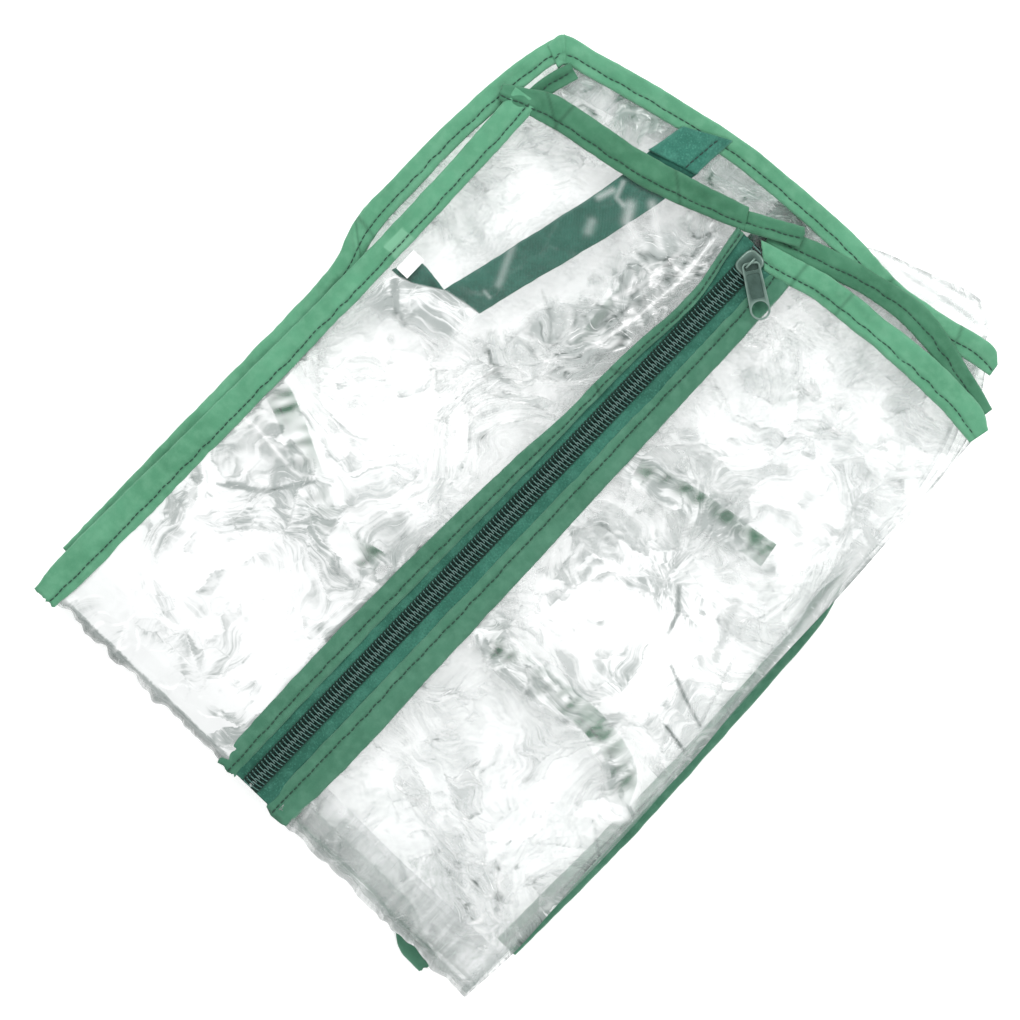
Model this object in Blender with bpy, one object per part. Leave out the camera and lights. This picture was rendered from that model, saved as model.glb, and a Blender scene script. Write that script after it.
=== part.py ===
"""Clear film cover of a small greenhouse, folded flat into its packet.

The cover is folded in three leaves that lie on each other: a bottom leaf, a
middle leaf and a front leaf. The middle leaf opens about a fold past the
packet's +Y end, the front leaf about a fold past its -Y end. The front leaf
carries the door zip, whose slider runs along it with its pull tab, and a tie
strap with a free end that lifts. All lengths below are in millimetres and
become metres in the mesh.
"""
import math

import bmesh
import bpy
from mathutils import Vector

MM = 0.001

# Driving dimensions
GAP = 0.4                    # air between neighbouring pieces
PACKET_HALF_WIDTH = 158.5    # packet reaches this far to each side, X
PACKET_HALF_LENGTH = 221.0   # packet reaches this far to each end, Y
FILM_END = -211.5            # where the film turns round its lower fold
BINDING = 13.0               # width of the folded bias binding
ZIP_HALF_GAP = 10.0          # zip centre line to either binding's inner edge
ZIP_BOTTOM = -209.0
ZIP_TOP = 160.0
CHAIN_HALF = 4.75            # half the width of the closed coil chain
CHAIN_SLIT = 0.6             # half the slit that the slider's web runs in
SLIDER_Y = 151.0             # slider's place when the zip is closed
SLIDER_LENGTH = 14.0
SLIDER_HALF = 6.25
TAB_LENGTH = 29.3            # pull tab, loop to rounded end
TAB_HEADING = math.radians(-34.2)   # the way the tab lies, from +X
TAB_HOLE_RADIUS = 4.2
BAR_HALF = 0.6               # half the thickness of the tab's bar in the bridge
BRIDGE_HALF = 3.5            # half the length of the slider's bridge
EDGE_SEAM_X = PACKET_HALF_WIDTH - BINDING / 2   # a seam that bounds the packet

# Heights of the layers, bottom leaf to top
Z_BOTTOM_BACK = (0.0, 2.4)
Z_BOTTOM_FRONT = (2.8, 5.0)
Z_BOTTOM_TAPE = (2.8, 3.4)
Z_BOTTOM_CHAIN = (3.7, 5.0)
Z_MIDDLE_FRONT = (5.4, 8.2)
Z_MIDDLE_CHAIN = (5.4, 6.7)
Z_MIDDLE_TAPE = (7.0, 7.6)
Z_MIDDLE_BACK = (8.6, 10.7)
Z_MIDDLE_BINDING = (11.1, 12.0)
Z_FRONT_BACK = (12.4, 13.7)
Z_REAR_BINDING = (12.4, 14.2)
Z_STRAP = (14.5, 15.4)
Z_FRONT_FILM = (15.8, 17.2)
Z_FRONT_BINDING = (15.8, 18.0)
Z_TAPE = (16.4, 17.0)
Z_CHAIN = (17.3, 18.9)
Z_LABEL = (17.5, 17.9)
Z_TAB_BINDING = (18.3, 19.2)
Z_SLIDER = (14.9, 20.0)
Z_BRIDGE = (20.3, 22.9)
Z_PULL = (20.4, 21.6)

# Fold and hinge axes
FOLD_HEIGHT = 11.6           # both folds turn about this height
LOWER_FOLD_Y = -217.5
UPPER_FOLD_Y = 222.5

# Colours: base colour and roughness
FILM = ((0.86, 0.89, 0.88), 0.15)
BIAS = ((0.12, 0.40, 0.24), 0.7)
TAPE = ((0.02, 0.20, 0.14), 0.8)
COIL = ((0.01, 0.10, 0.07), 0.4)
PAINT = ((0.06, 0.10, 0.09), 0.35)
WEBBING = ((0.03, 0.24, 0.17), 0.9)
LABEL = ((0.90, 0.90, 0.88), 0.6)


def clear_scene():
    for obj in list(bpy.data.objects):
        bpy.data.objects.remove(obj, do_unlink=True)


def material(name, finish, metallic=0.0):
    """A Principled material with one colour and one roughness."""
    colour, roughness = finish
    mat = bpy.data.materials.new(name)
    mat.use_nodes = True
    shader = mat.node_tree.nodes["Principled BSDF"]
    shader.inputs["Base Color"].default_value = (*colour, 1.0)
    shader.inputs["Roughness"].default_value = roughness
    shader.inputs["Metallic"].default_value = metallic
    return mat


def add_object(name, bm, finish, metallic=0.0, origin=(0.0, 0.0, 0.0), parent=None):
    """Turn a bmesh drawn in millimetres into a named object at its origin."""
    centre = Vector(origin)
    for vert in bm.verts:
        vert.co = (vert.co - centre) * MM
    bmesh.ops.recalc_face_normals(bm, faces=bm.faces)
    mesh = bpy.data.meshes.new(name)
    bm.to_mesh(mesh)
    bm.free()
    obj = bpy.data.objects.new(name, mesh)
    obj.location = centre * MM
    bpy.context.scene.collection.objects.link(obj)
    mesh.materials.append(material(name, finish, metallic))
    if parent is not None:
        bpy.context.view_layer.update()
        obj.parent = parent
        obj.matrix_parent_inverse = parent.matrix_world.inverted()
    return obj


def axis_empty(name, origin, parent=None):
    """An empty on a joint's axis, to carry the pieces that turn about it."""
    empty = bpy.data.objects.new(name, None)
    empty.location = Vector(origin) * MM
    bpy.context.scene.collection.objects.link(empty)
    bpy.context.view_layer.update()
    if parent is not None:
        empty.parent = parent
        empty.matrix_parent_inverse = parent.matrix_world.inverted()
        bpy.context.view_layer.update()
    return empty


def prism(outline, heights):
    """A flat plate: an outline in XY extruded between two heights."""
    bm = bmesh.new()
    low, high = heights
    base = [bm.verts.new((x, y, low)) for x, y in outline]
    face = bm.faces.new(base)
    grown = bmesh.ops.extrude_face_region(bm, geom=[face])
    moved = [item for item in grown["geom"] if isinstance(item, bmesh.types.BMVert)]
    bmesh.ops.translate(bm, verts=moved, vec=(0.0, 0.0, high - low))
    return bm


def side_point(path, index, offset):
    """The mitred point beside a path's vertex, offset to its left."""
    here = Vector(path[index])
    normals = []
    if index > 0:
        back = (here - Vector(path[index - 1])).normalized()
        normals.append(Vector((-back.y, back.x)))
    if index < len(path) - 1:
        ahead = (Vector(path[index + 1]) - here).normalized()
        normals.append(Vector((-ahead.y, ahead.x)))
    mitre = sum(normals, Vector((0.0, 0.0))).normalized()
    return here + mitre * (offset / mitre.dot(normals[0]))


def band(path, heights, width=BINDING):
    """A flat ribbon along a path, as wide as its width, or widths, say."""
    widths = width if isinstance(width, (list, tuple)) else [width] * len(path)
    count = len(path)
    left = [side_point(path, i, widths[i] / 2) for i in range(count)]
    right = [side_point(path, i, -widths[i] / 2) for i in range(count)]
    return prism([tuple(p) for p in left + right[::-1]], heights)


def box(low, high):
    return prism([(low[0], low[1]), (high[0], low[1]), (high[0], high[1]), (low[0], high[1])],
                 (low[2], high[2]))


# Lines of the sewn edges, in XY
LEFT_SEAM = [(-139.0, -213.0), (-136.0, -40.0), (-134.0, 30.0), (-134.0, 129.5)]
REAR_LEFT_SEAM = [(-143.5, -190.0), (-143.5, 8.0), (-EDGE_SEAM_X, 30.0), (-EDGE_SEAM_X, 100.0),
                  (-145.5, 155.0)]
ROOF_REAR_SEAM = [(-147.0, 163.5), (-103.0, 174.5), (-47.0, 188.0), (28.0, 192.0),
                  (62.0, 189.5), (119.0, 199.5)]
ROOF_LEFT_SEAM = [(-136.0, 134.0), (-130.0, 161.0)]
FRONT_TOP_SEAM = [(-147.0, 137.5), (-126.0, 141.5), (-73.0, 148.0), (-17.5, 165.0)]
TAB_SEAM = [(-17.0, 165.5), (8.5, 178.5)]
ROOF_FRONT_SEAM = [(-2.0, 171.5), (40.0, 184.5), (72.0, 189.5), (92.0, 188.0), (138.0, 178.0)]
DOOR_TOP_SEAM = [(10.0, 162.5), (43.0, 168.0), (80.0, 171.7), (108.0, 173.3), (141.0, 170.5)]
ZIP_LEFT_SEAM = [(-16.3, -209.0), (-16.3, 0.0), (-11.2, 85.0), (-11.2, 130.0), (-13.0, 147.0)]
ZIP_LEFT_WIDTHS = [12.6, 12.6, 6.5, 6.5, 7.0]
ZIP_RIGHT_SEAM = [(17.3, -209.0), (17.3, 110.0), (17.3, 148.0)]
REAR_RIGHT_SEAM = [(140.0, 76.0), (148.5, 30.0), (EDGE_SEAM_X, -60.0), (EDGE_SEAM_X, -110.0),
                   (149.0, -183.0)]
HEM_SEAM = [(-140.0, -206.6), (105.0, -206.6), (121.0, 5.72 - PACKET_HALF_LENGTH)]
CROSS_SEAM_UPPER = [(32.0, 39.5), (64.0, 48.5), (106.0, 55.5)]
CROSS_SEAM_LOWER = [(29.0, -67.5), (72.0, -60.5), (107.0, -61.5), (139.0, -72.5)]
CROSS_SEAM_LEFT = [(-130.0, -60.5), (-46.0, -92.5)]
INNER_SEAM = [(-33.0, 62.0), (-35.0, 128.0)]
STRAP_RUN = [(-100.9, 43.2), (-80.1, 37.8), (-50.0, 162.3), (-75.5, 155.0)]
STRAP_HINGE = [(-76.4, 156.5), (-49.6, 164.2)]
STRAP_FREE_END = [(-76.2, 157.5), (-50.0, 165.0), (-49.0, 189.5), (-72.0, 178.0)]
STRAP_ROOT = [(-127.0, 28.0), (-112.0, 24.5), (-93.0, 26.0), (-101.2, 40.0), (-126.0, 43.5)]


def bottom_leaf():
    """The leaf that lies on the table: the cover's foot, with its hem."""
    end = FILM_END
    back = [(-146.0, end), (150.0, end), (148.0, 206.0), (-140.0, 205.0)]
    door = [(11.0, -199.5), (141.5, -199.5), (144.5, -60.0), (141.0, 10.0), (132.5, 62.0),
            (132.5, 204.0), (11.0, 204.0)]
    left = [(-144.0, -199.5), (-11.0, -199.5), (-11.0, 204.0), (-140.0, 204.0)]
    add_object("back_panel_foot", prism(back, Z_BOTTOM_BACK), FILM)
    add_object("door_panel_foot", prism(door, Z_BOTTOM_FRONT), FILM)
    add_object("front_left_panel_foot", prism(left, Z_BOTTOM_FRONT), FILM)
    tape = box((-10.4, -199.5, Z_BOTTOM_TAPE[0]), (10.4, 204.0, Z_BOTTOM_TAPE[1]))
    add_object("zip_tapes_foot", tape, TAPE)
    chain = box((-CHAIN_HALF, -190.0, Z_BOTTOM_CHAIN[0]), (CHAIN_HALF, 204.0, Z_BOTTOM_CHAIN[1]))
    add_object("zip_chain_foot", chain, COIL)
    stop = box((-CHAIN_HALF, -196.0, Z_BOTTOM_CHAIN[0]), (CHAIN_HALF, -190.5, Z_BOTTOM_CHAIN[1]))
    add_object("zip_bottom_stop", stop, PAINT, metallic=1.0)
    add_object("hem_binding", band(HEM_SEAM, Z_BOTTOM_FRONT), BIAS)
    add_object("rear_right_seam_binding", band(REAR_RIGHT_SEAM, Z_BOTTOM_FRONT), BIAS)


def middle_leaf(fold):
    """The leaf between the two folds, lying face down."""
    front = [(-143.0, FILM_END), (-11.0, FILM_END), (-11.0, 205.0), (-139.0, 205.0)]
    door = [(11.0, FILM_END), (150.0, FILM_END), (146.0, 204.0), (11.0, 205.0)]
    back = [(-146.0, FILM_END), (152.0, FILM_END), (146.0, 190.0), (113.0, 203.0), (112.0, 213.0),
            (98.0, PACKET_HALF_LENGTH), (34.0, 201.0), (-139.0, 192.0)]
    for name, outline, heights in (
            ("front_left_panel_middle", front, Z_MIDDLE_FRONT),
            ("door_panel_middle", door, Z_MIDDLE_FRONT),
            ("back_panel_middle", back, Z_MIDDLE_BACK)):
        add_object(name, prism(outline, heights), FILM, parent=fold)
    chain = box((-CHAIN_HALF, FILM_END, Z_MIDDLE_CHAIN[0]), (CHAIN_HALF, 205.0, Z_MIDDLE_CHAIN[1]))
    add_object("zip_chain_middle", chain, COIL, parent=fold)
    tape = box((-10.4, FILM_END, Z_MIDDLE_TAPE[0]), (10.4, 205.0, Z_MIDDLE_TAPE[1]))
    add_object("zip_tapes_middle", tape, TAPE, parent=fold)
    for name, seam in (("cross_binding_upper", CROSS_SEAM_UPPER),
                       ("cross_binding_lower", CROSS_SEAM_LOWER),
                       ("cross_binding_left", CROSS_SEAM_LEFT)):
        add_object(name, band(seam, Z_MIDDLE_BINDING, width=11.0), BIAS, parent=fold)


def front_leaf_film(fold):
    """Clear panels of the front leaf: the rear ply, then the front ply."""
    rear = [(-136.0, FILM_END), (148.0, FILM_END), (145.0, 170.0), (60.0, 182.0), (28.0, 184.0),
            (-47.0, 180.5), (-108.0, 165.0), (-135.0, 157.0), (-144.0, 95.0), (-144.0, 36.0),
            (-136.0, 8.0)]
    left = [(-132.0, FILM_END), (-23.0, FILM_END), (-23.0, 0.0), (-15.0, 85.0), (-15.0, 130.0),
            (-17.5, 150.0), (-26.0, 154.5), (-73.0, 140.2), (-127.0, 133.0), (-127.0, 28.0)]
    door = [(24.3, FILM_END), (152.0, -213.5), (151.0, -110.0), (150.0, -5.0), (148.0, 76.0),
            (144.0, 162.0), (108.0, 165.9), (80.0, 164.4), (44.0, 160.7), (24.3, 157.0)]
    add_object("back_panel_top", prism(rear, Z_FRONT_BACK), FILM, parent=fold)
    add_object("front_left_panel", prism(left, Z_FRONT_FILM), FILM, parent=fold)
    add_object("door_panel", prism(door, Z_FRONT_FILM), FILM, parent=fold)


def front_leaf_bindings(fold):
    """Sewn edges of the front leaf, each a run of folded ribbon."""
    rear = Z_REAR_BINDING
    between = Z_STRAP
    front = Z_FRONT_BINDING
    seams = (
        ("rear_left_seam_binding", REAR_LEFT_SEAM, rear, BINDING),
        ("roof_rear_binding", ROOF_REAR_SEAM, rear, BINDING),
        ("roof_left_binding", ROOF_LEFT_SEAM, between, 9.0),
        ("roof_front_binding", ROOF_FRONT_SEAM, between, 12.0),
        ("inner_seam_binding", INNER_SEAM, between, 8.0),
        ("left_seam_binding", LEFT_SEAM, front, 12.6),
        ("front_top_binding", FRONT_TOP_SEAM, front, BINDING),
        ("door_top_binding", DOOR_TOP_SEAM, front, BINDING),
        ("zip_left_binding", ZIP_LEFT_SEAM, front, ZIP_LEFT_WIDTHS),
        ("zip_right_binding", ZIP_RIGHT_SEAM, front, [13.2, 13.2, 11.0]),
        ("roof_tab_binding", TAB_SEAM, Z_TAB_BINDING, 11.0),
    )
    for name, seam, heights, width in seams:
        add_object(name, band(seam, heights, width), BIAS, parent=fold)


def front_leaf_zip(fold):
    """Two tapes with their coils, closed, and a slit for the slider's web."""
    edge = ZIP_HALF_GAP - GAP
    left_tape = [(-edge, ZIP_BOTTOM), (-CHAIN_SLIT, ZIP_BOTTOM), (-CHAIN_SLIT, ZIP_TOP),
                 (-9.0, ZIP_TOP), (-9.0, 148.0), (-7.4, 130.0), (-7.4, 85.0), (-edge, 0.0)]
    right_tape = [(CHAIN_SLIT, ZIP_BOTTOM), (edge + 0.7, ZIP_BOTTOM), (edge + 0.7, 148.0),
                  (8.0, 154.5), (CHAIN_SLIT, 155.0)]
    add_object("zip_tape_left", prism(left_tape, Z_TAPE), TAPE, parent=fold)
    add_object("zip_tape_right", prism(right_tape, Z_TAPE), TAPE, parent=fold)
    left_coil = box((-CHAIN_HALF, ZIP_BOTTOM, Z_CHAIN[0]), (-CHAIN_SLIT, ZIP_TOP, Z_CHAIN[1]))
    right_coil = box((CHAIN_SLIT, ZIP_BOTTOM, Z_CHAIN[0]), (CHAIN_HALF, ZIP_TOP, Z_CHAIN[1]))
    add_object("zip_coil_left", left_coil, COIL, parent=fold)
    add_object("zip_coil_right", right_coil, COIL, parent=fold)


def strap_hinge_centre():
    """The middle of the crease that the strap's free end lifts about."""
    middle = (Vector(STRAP_HINGE[0]) + Vector(STRAP_HINGE[1])) / 2
    return (middle.x, middle.y, Z_STRAP[0])


def tie_strap(fold, turn):
    """Webbing that ties the rolled door: root, run under the film, free end."""
    add_object("tie_strap_root", prism(STRAP_ROOT, Z_STRAP), WEBBING, parent=fold)
    add_object("tie_strap", prism(STRAP_RUN, Z_STRAP), WEBBING, parent=fold)
    add_object("tie_strap_end", prism(STRAP_FREE_END, Z_STRAP), WEBBING,
               origin=strap_hinge_centre(), parent=turn)
    label = [(-126.0, 27.5), (-118.5, 27.5), (-118.5, 40.0), (-126.0, 40.0)]
    add_object("care_label", prism(label, Z_LABEL), LABEL, parent=fold)


def slider(carrier):
    """Slider body: two plates joined by a web, the upper one with lips."""
    low, high = Z_SLIDER
    half = SLIDER_HALF
    lip = half - 0.75
    web = CHAIN_SLIT / 2
    floor = low + 1.0
    ceiling = high - 0.8
    lip_foot = Z_TAPE[1] + 0.6
    profile = [(-half, low), (half, low), (half, floor), (web, floor), (web, ceiling),
               (lip, ceiling), (lip, lip_foot), (half, lip_foot), (half, high), (-half, high),
               (-half, lip_foot), (-lip, lip_foot), (-lip, ceiling), (-web, ceiling),
               (-web, floor), (-half, floor)]
    bm = extrude_along_y(profile, SLIDER_Y - SLIDER_LENGTH / 2, SLIDER_LENGTH)
    centre = (0.0, SLIDER_Y, high)
    add_object("slider_body", bm, PAINT, metallic=0.6, origin=centre, parent=carrier)
    bridge(carrier, centre)


def bridge(carrier, centre):
    """Staple over the slider, with an opening that the pull tab's loop uses."""
    outer = BRIDGE_HALF
    inner = BRIDGE_HALF - 1.0
    foot, top = Z_BRIDGE
    under = top - 0.9
    chamfer = 0.6
    profile = [(-outer, foot), (-inner, foot), (-inner, under), (inner, under), (inner, foot),
               (outer, foot), (outer, top - chamfer), (outer - chamfer, top),
               (-outer + chamfer, top), (-outer, top - chamfer)]
    bm = bmesh.new()
    ring = [bm.verts.new((-0.5, SLIDER_Y + y, z)) for y, z in profile]
    face = bm.faces.new(ring)
    grown = bmesh.ops.extrude_face_region(bm, geom=[face])
    moved = [item for item in grown["geom"] if isinstance(item, bmesh.types.BMVert)]
    bmesh.ops.translate(bm, verts=moved, vec=(1.0, 0.0, 0.0))
    add_object("slider_bridge", bm, PAINT, metallic=0.6, origin=centre, parent=carrier)


def extrude_along_y(profile, start, length):
    """A solid with one profile in XZ, run along +Y."""
    bm = bmesh.new()
    face = bm.faces.new([bm.verts.new((x, start, z)) for x, z in profile])
    grown = bmesh.ops.extrude_face_region(bm, geom=[face])
    moved = [item for item in grown["geom"] if isinstance(item, bmesh.types.BMVert)]
    bmesh.ops.translate(bm, verts=moved, vec=(0.0, length, 0.0))
    return bm


def arc(centre, radius, start, stop, steps):
    """Points on an arc, angles in degrees."""
    points = []
    for i in range(steps + 1):
        angle = math.radians(start + (stop - start) * i / steps)
        points.append((centre[0] + radius * math.cos(angle), centre[1] + radius * math.sin(angle)))
    return points


def cutter(name, outline, heights, parent):
    """A hidden solid for a Boolean cut, in the pull tab's own frame."""
    bm = prism(outline, heights)
    obj = add_object(name, bm, PAINT)
    obj.hide_render = True
    obj.display_type = "WIRE"
    obj.parent = parent
    return obj


def pull_tab(carrier):
    """Pull tab: a loop round the bridge, a plate, and a hole at its free end.

    It is drawn along +X from the loop's bar and turned to its heading.
    """
    end_radius = 5.2
    end_x = TAB_LENGTH - BAR_HALF - end_radius
    half_loop = 4.6
    corner = 1.6
    plate = arc((corner - BAR_HALF, half_loop - corner), corner, 90, 180, 4)
    plate += arc((corner - BAR_HALF, corner - half_loop), corner, 180, 270, 4)
    plate += arc((end_x, 0.0), end_radius, -86, 86, 16)
    thickness = (Z_PULL[1] - Z_PULL[0]) / 2
    tab = add_object("pull_tab", prism(plate, (-thickness, thickness)), PAINT, metallic=0.6)
    loop_hole = [(BAR_HALF, -3.5), (3.6, -3.5), (3.6, 3.5), (BAR_HALF, 3.5)]
    end_hole = arc((end_x, 0.0), TAB_HOLE_RADIUS, 0, 345, 23)
    deep = (-2 * thickness, 2 * thickness)
    for name, outline in (("loop_cut", loop_hole), ("end_cut", end_hole)):
        cut = tab.modifiers.new(name, "BOOLEAN")
        cut.operation = "DIFFERENCE"
        cut.object = cutter(name, outline, deep, tab)
    axis = Vector((0.0, SLIDER_Y, (Z_PULL[0] + Z_PULL[1]) / 2)) * MM
    tab.location = axis
    tab.rotation_euler = (0.0, 0.0, TAB_HEADING)
    bpy.context.view_layer.update()
    tab.parent = carrier
    tab.matrix_parent_inverse = carrier.matrix_world.inverted()


def build():
    clear_scene()
    bottom_leaf()
    upper_fold = axis_empty("upper_fold_axis", (0.0, UPPER_FOLD_Y, FOLD_HEIGHT))
    middle_leaf(upper_fold)
    lower_fold = axis_empty("lower_fold_axis", (0.0, LOWER_FOLD_Y, FOLD_HEIGHT), upper_fold)
    front_leaf_film(lower_fold)
    front_leaf_bindings(lower_fold)
    front_leaf_zip(lower_fold)
    tie_strap(lower_fold, axis_empty("strap_axis", strap_hinge_centre(), lower_fold))
    carrier = axis_empty("slider_axis", (0.0, SLIDER_Y, Z_SLIDER[1]), lower_fold)
    slider(carrier)
    pull_tab(carrier)


build()
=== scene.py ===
"""Folded clear-film greenhouse cover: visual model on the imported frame.

Lengths are in millimetres until a mesh is made. +Y runs along the zip towards
the closed slider, +X to the right of the zip and +Z up through the leaves.
"""

import math

import bpy
import numpy as np
from mathutils import Matrix, Vector


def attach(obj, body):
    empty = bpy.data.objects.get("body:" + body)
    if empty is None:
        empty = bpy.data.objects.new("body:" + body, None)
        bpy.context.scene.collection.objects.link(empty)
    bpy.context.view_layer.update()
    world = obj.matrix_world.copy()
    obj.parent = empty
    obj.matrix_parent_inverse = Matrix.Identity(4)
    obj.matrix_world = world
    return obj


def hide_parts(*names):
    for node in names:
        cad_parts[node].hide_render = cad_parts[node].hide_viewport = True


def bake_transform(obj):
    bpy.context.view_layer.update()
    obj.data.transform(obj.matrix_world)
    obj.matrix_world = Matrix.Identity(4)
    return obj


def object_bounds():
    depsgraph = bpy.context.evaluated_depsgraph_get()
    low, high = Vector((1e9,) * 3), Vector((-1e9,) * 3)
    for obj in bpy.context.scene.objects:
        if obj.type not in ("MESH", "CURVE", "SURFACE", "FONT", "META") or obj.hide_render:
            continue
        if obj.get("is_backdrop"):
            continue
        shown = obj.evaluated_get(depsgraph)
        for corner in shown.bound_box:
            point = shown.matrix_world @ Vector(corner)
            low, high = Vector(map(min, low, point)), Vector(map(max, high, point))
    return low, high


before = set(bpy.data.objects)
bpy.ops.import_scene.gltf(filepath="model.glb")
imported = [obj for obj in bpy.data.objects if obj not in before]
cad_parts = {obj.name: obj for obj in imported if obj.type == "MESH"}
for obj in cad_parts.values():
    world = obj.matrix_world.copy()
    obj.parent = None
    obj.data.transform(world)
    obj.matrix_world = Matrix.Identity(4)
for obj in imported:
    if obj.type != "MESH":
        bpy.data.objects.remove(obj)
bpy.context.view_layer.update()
MM = 0.001

# ---------------------------------------------------------------- noise fields
TILE = 640          # side of one tile of noise, mm at one sample a millimetre
_fields = {}


def field(seed, wavelength, stretch=1.0, heading=0.0, band=0.35):
    """Smooth noise of one wavelength, drawn out along a heading (degrees)."""
    key = (seed, wavelength, stretch, heading, band)
    if key not in _fields:
        rng = np.random.default_rng(seed)
        k = np.fft.fftfreq(TILE, 1.0)
        kx, ky = np.meshgrid(k, k, indexing="ij")
        c, s = math.cos(math.radians(heading)), math.sin(math.radians(heading))
        along = (kx * c + ky * s) * stretch
        across = ky * c - kx * s
        r = np.hypot(along, across) * wavelength
        gain = np.exp(-((r - 1.0) / band) ** 2 / 2)
        f = np.fft.ifft2(np.fft.fft2(rng.standard_normal((TILE, TILE))) * gain).real
        _fields[key] = f / f.std()
    return _fields[key]


def sample(grid, x, y):
    """The field's value at points in mm, smoothly interpolated."""
    x, y = np.mod(x, TILE), np.mod(y, TILE)
    i, j = np.floor(x).astype(int), np.floor(y).astype(int)
    a, b = x - i, y - j
    a, b = a * a * (3 - 2 * a), b * b * (3 - 2 * b)
    i, j = i % TILE, j % TILE
    i1, j1 = (i + 1) % TILE, (j + 1) % TILE
    low = grid[i, j] * (1 - a) + grid[i1, j] * a
    high = grid[i, j1] * (1 - a) + grid[i1, j1] * a
    return low * (1 - b) + high * b


def step(low, high, v):
    t = np.clip((v - low) / (high - low), 0.0, 1.0)
    return t * t * (3 - 2 * t)


def blob(x, y, cx, cy, rx, ry, turn=0.0):
    """1 at a centre, falling to 0 round an ellipse."""
    c, s = math.cos(math.radians(turn)), math.sin(math.radians(turn))
    u = ((x - cx) * c + (y - cy) * s) / rx
    v = ((y - cy) * c - (x - cx) * s) / ry
    return np.exp(-(u * u + v * v))


def zones(x, y, start, *spots):
    """start plus a blob for each (weight, centre x, y, radius x, y, turn)."""
    for weight, *shape in spots:
        start = start + weight * blob(x, y, *shape)
    return start


# ---------------------------------------------------------------- mesh helpers
def new_object(name, verts, faces, materials, face_slots=None, smooth=True):
    mesh = bpy.data.meshes.new(name)
    mesh.from_pydata((np.asarray(verts, float) * MM).tolist(), [], faces)
    for m in materials:
        mesh.materials.append(m)
    if face_slots is not None:
        mesh.polygons.foreach_set("material_index", np.asarray(face_slots, np.int32))
    if smooth:
        mesh.polygons.foreach_set("use_smooth", np.ones(len(mesh.polygons), bool))
    mesh.update()
    obj = bpy.data.objects.new(name, mesh)
    bpy.context.scene.collection.objects.link(obj)
    return obj


def point_attribute(obj, name, values):
    a = obj.data.attributes.new(name, "FLOAT", "POINT")
    a.data.foreach_set("value", np.ascontiguousarray(values, np.float32).ravel())


def grid_faces(rows, cols, wrap=False):
    faces = []
    last = cols if wrap else cols - 1
    for r in range(rows - 1):
        for c in range(last):
            d = (c + 1) % cols
            faces.append((r * cols + c, r * cols + d, (r + 1) * cols + d, (r + 1) * cols + c))
    return faces


def spline(points, count):
    """Points at equal steps along a smooth curve through the given ones."""
    p = np.asarray(points, float)
    if len(p) == 2:
        t = np.linspace(0, 1, count)[:, None]
        return p[0] * (1 - t) + p[1] * t
    q = np.vstack([2 * p[0] - p[1], p, 2 * p[-1] - p[-2]])
    out = []
    for i in range(1, len(q) - 2):
        a, b, c, d = q[i - 1:i + 3]
        ta = 0.0
        tb = ta + np.linalg.norm(b[:2] - a[:2]) ** 0.5
        tc = tb + np.linalg.norm(c[:2] - b[:2]) ** 0.5
        td = tc + np.linalg.norm(d[:2] - c[:2]) ** 0.5
        for t in np.linspace(tb, tc, 24, endpoint=False):
            a1 = (tb - t) / (tb - ta) * a + (t - ta) / (tb - ta) * b
            a2 = (tc - t) / (tc - tb) * b + (t - tb) / (tc - tb) * c
            a3 = (td - t) / (td - tc) * c + (t - tc) / (td - tc) * d
            b1 = (tc - t) / (tc - ta) * a1 + (t - ta) / (tc - ta) * a2
            b2 = (td - t) / (td - tb) * a2 + (t - tb) / (td - tb) * a3
            out.append((tc - t) / (tc - tb) * b1 + (t - tb) / (tc - tb) * b2)
    out.append(p[-1])
    out = np.array(out)
    run = np.concatenate([[0], np.cumsum(np.linalg.norm(np.diff(out[:, :2], axis=0), axis=1))])
    at = np.linspace(0, run[-1], count)
    return np.stack([np.interp(at, run, out[:, k]) for k in range(out.shape[1])], axis=1)


def coons(bottom, right, top, left, cols, rows):
    """A patch of rows x cols points between four edges; left and right run upwards."""
    b, t = spline(bottom, cols), spline(top, cols)
    lf, rt = spline(left, rows), spline(right, rows)
    u = np.linspace(0, 1, cols)[None, :, None]
    v = np.linspace(0, 1, rows)[:, None, None]
    ruled_v = b[None] * (1 - v) + t[None] * v
    ruled_u = lf[:, None] * (1 - u) + rt[:, None] * u
    corners = ((1 - u) * (1 - v) * b[0] + u * (1 - v) * b[-1]
               + (1 - u) * v * t[0] + u * v * t[-1])
    grid = ruled_v + ruled_u - corners
    return grid[..., 0], grid[..., 1]


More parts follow.
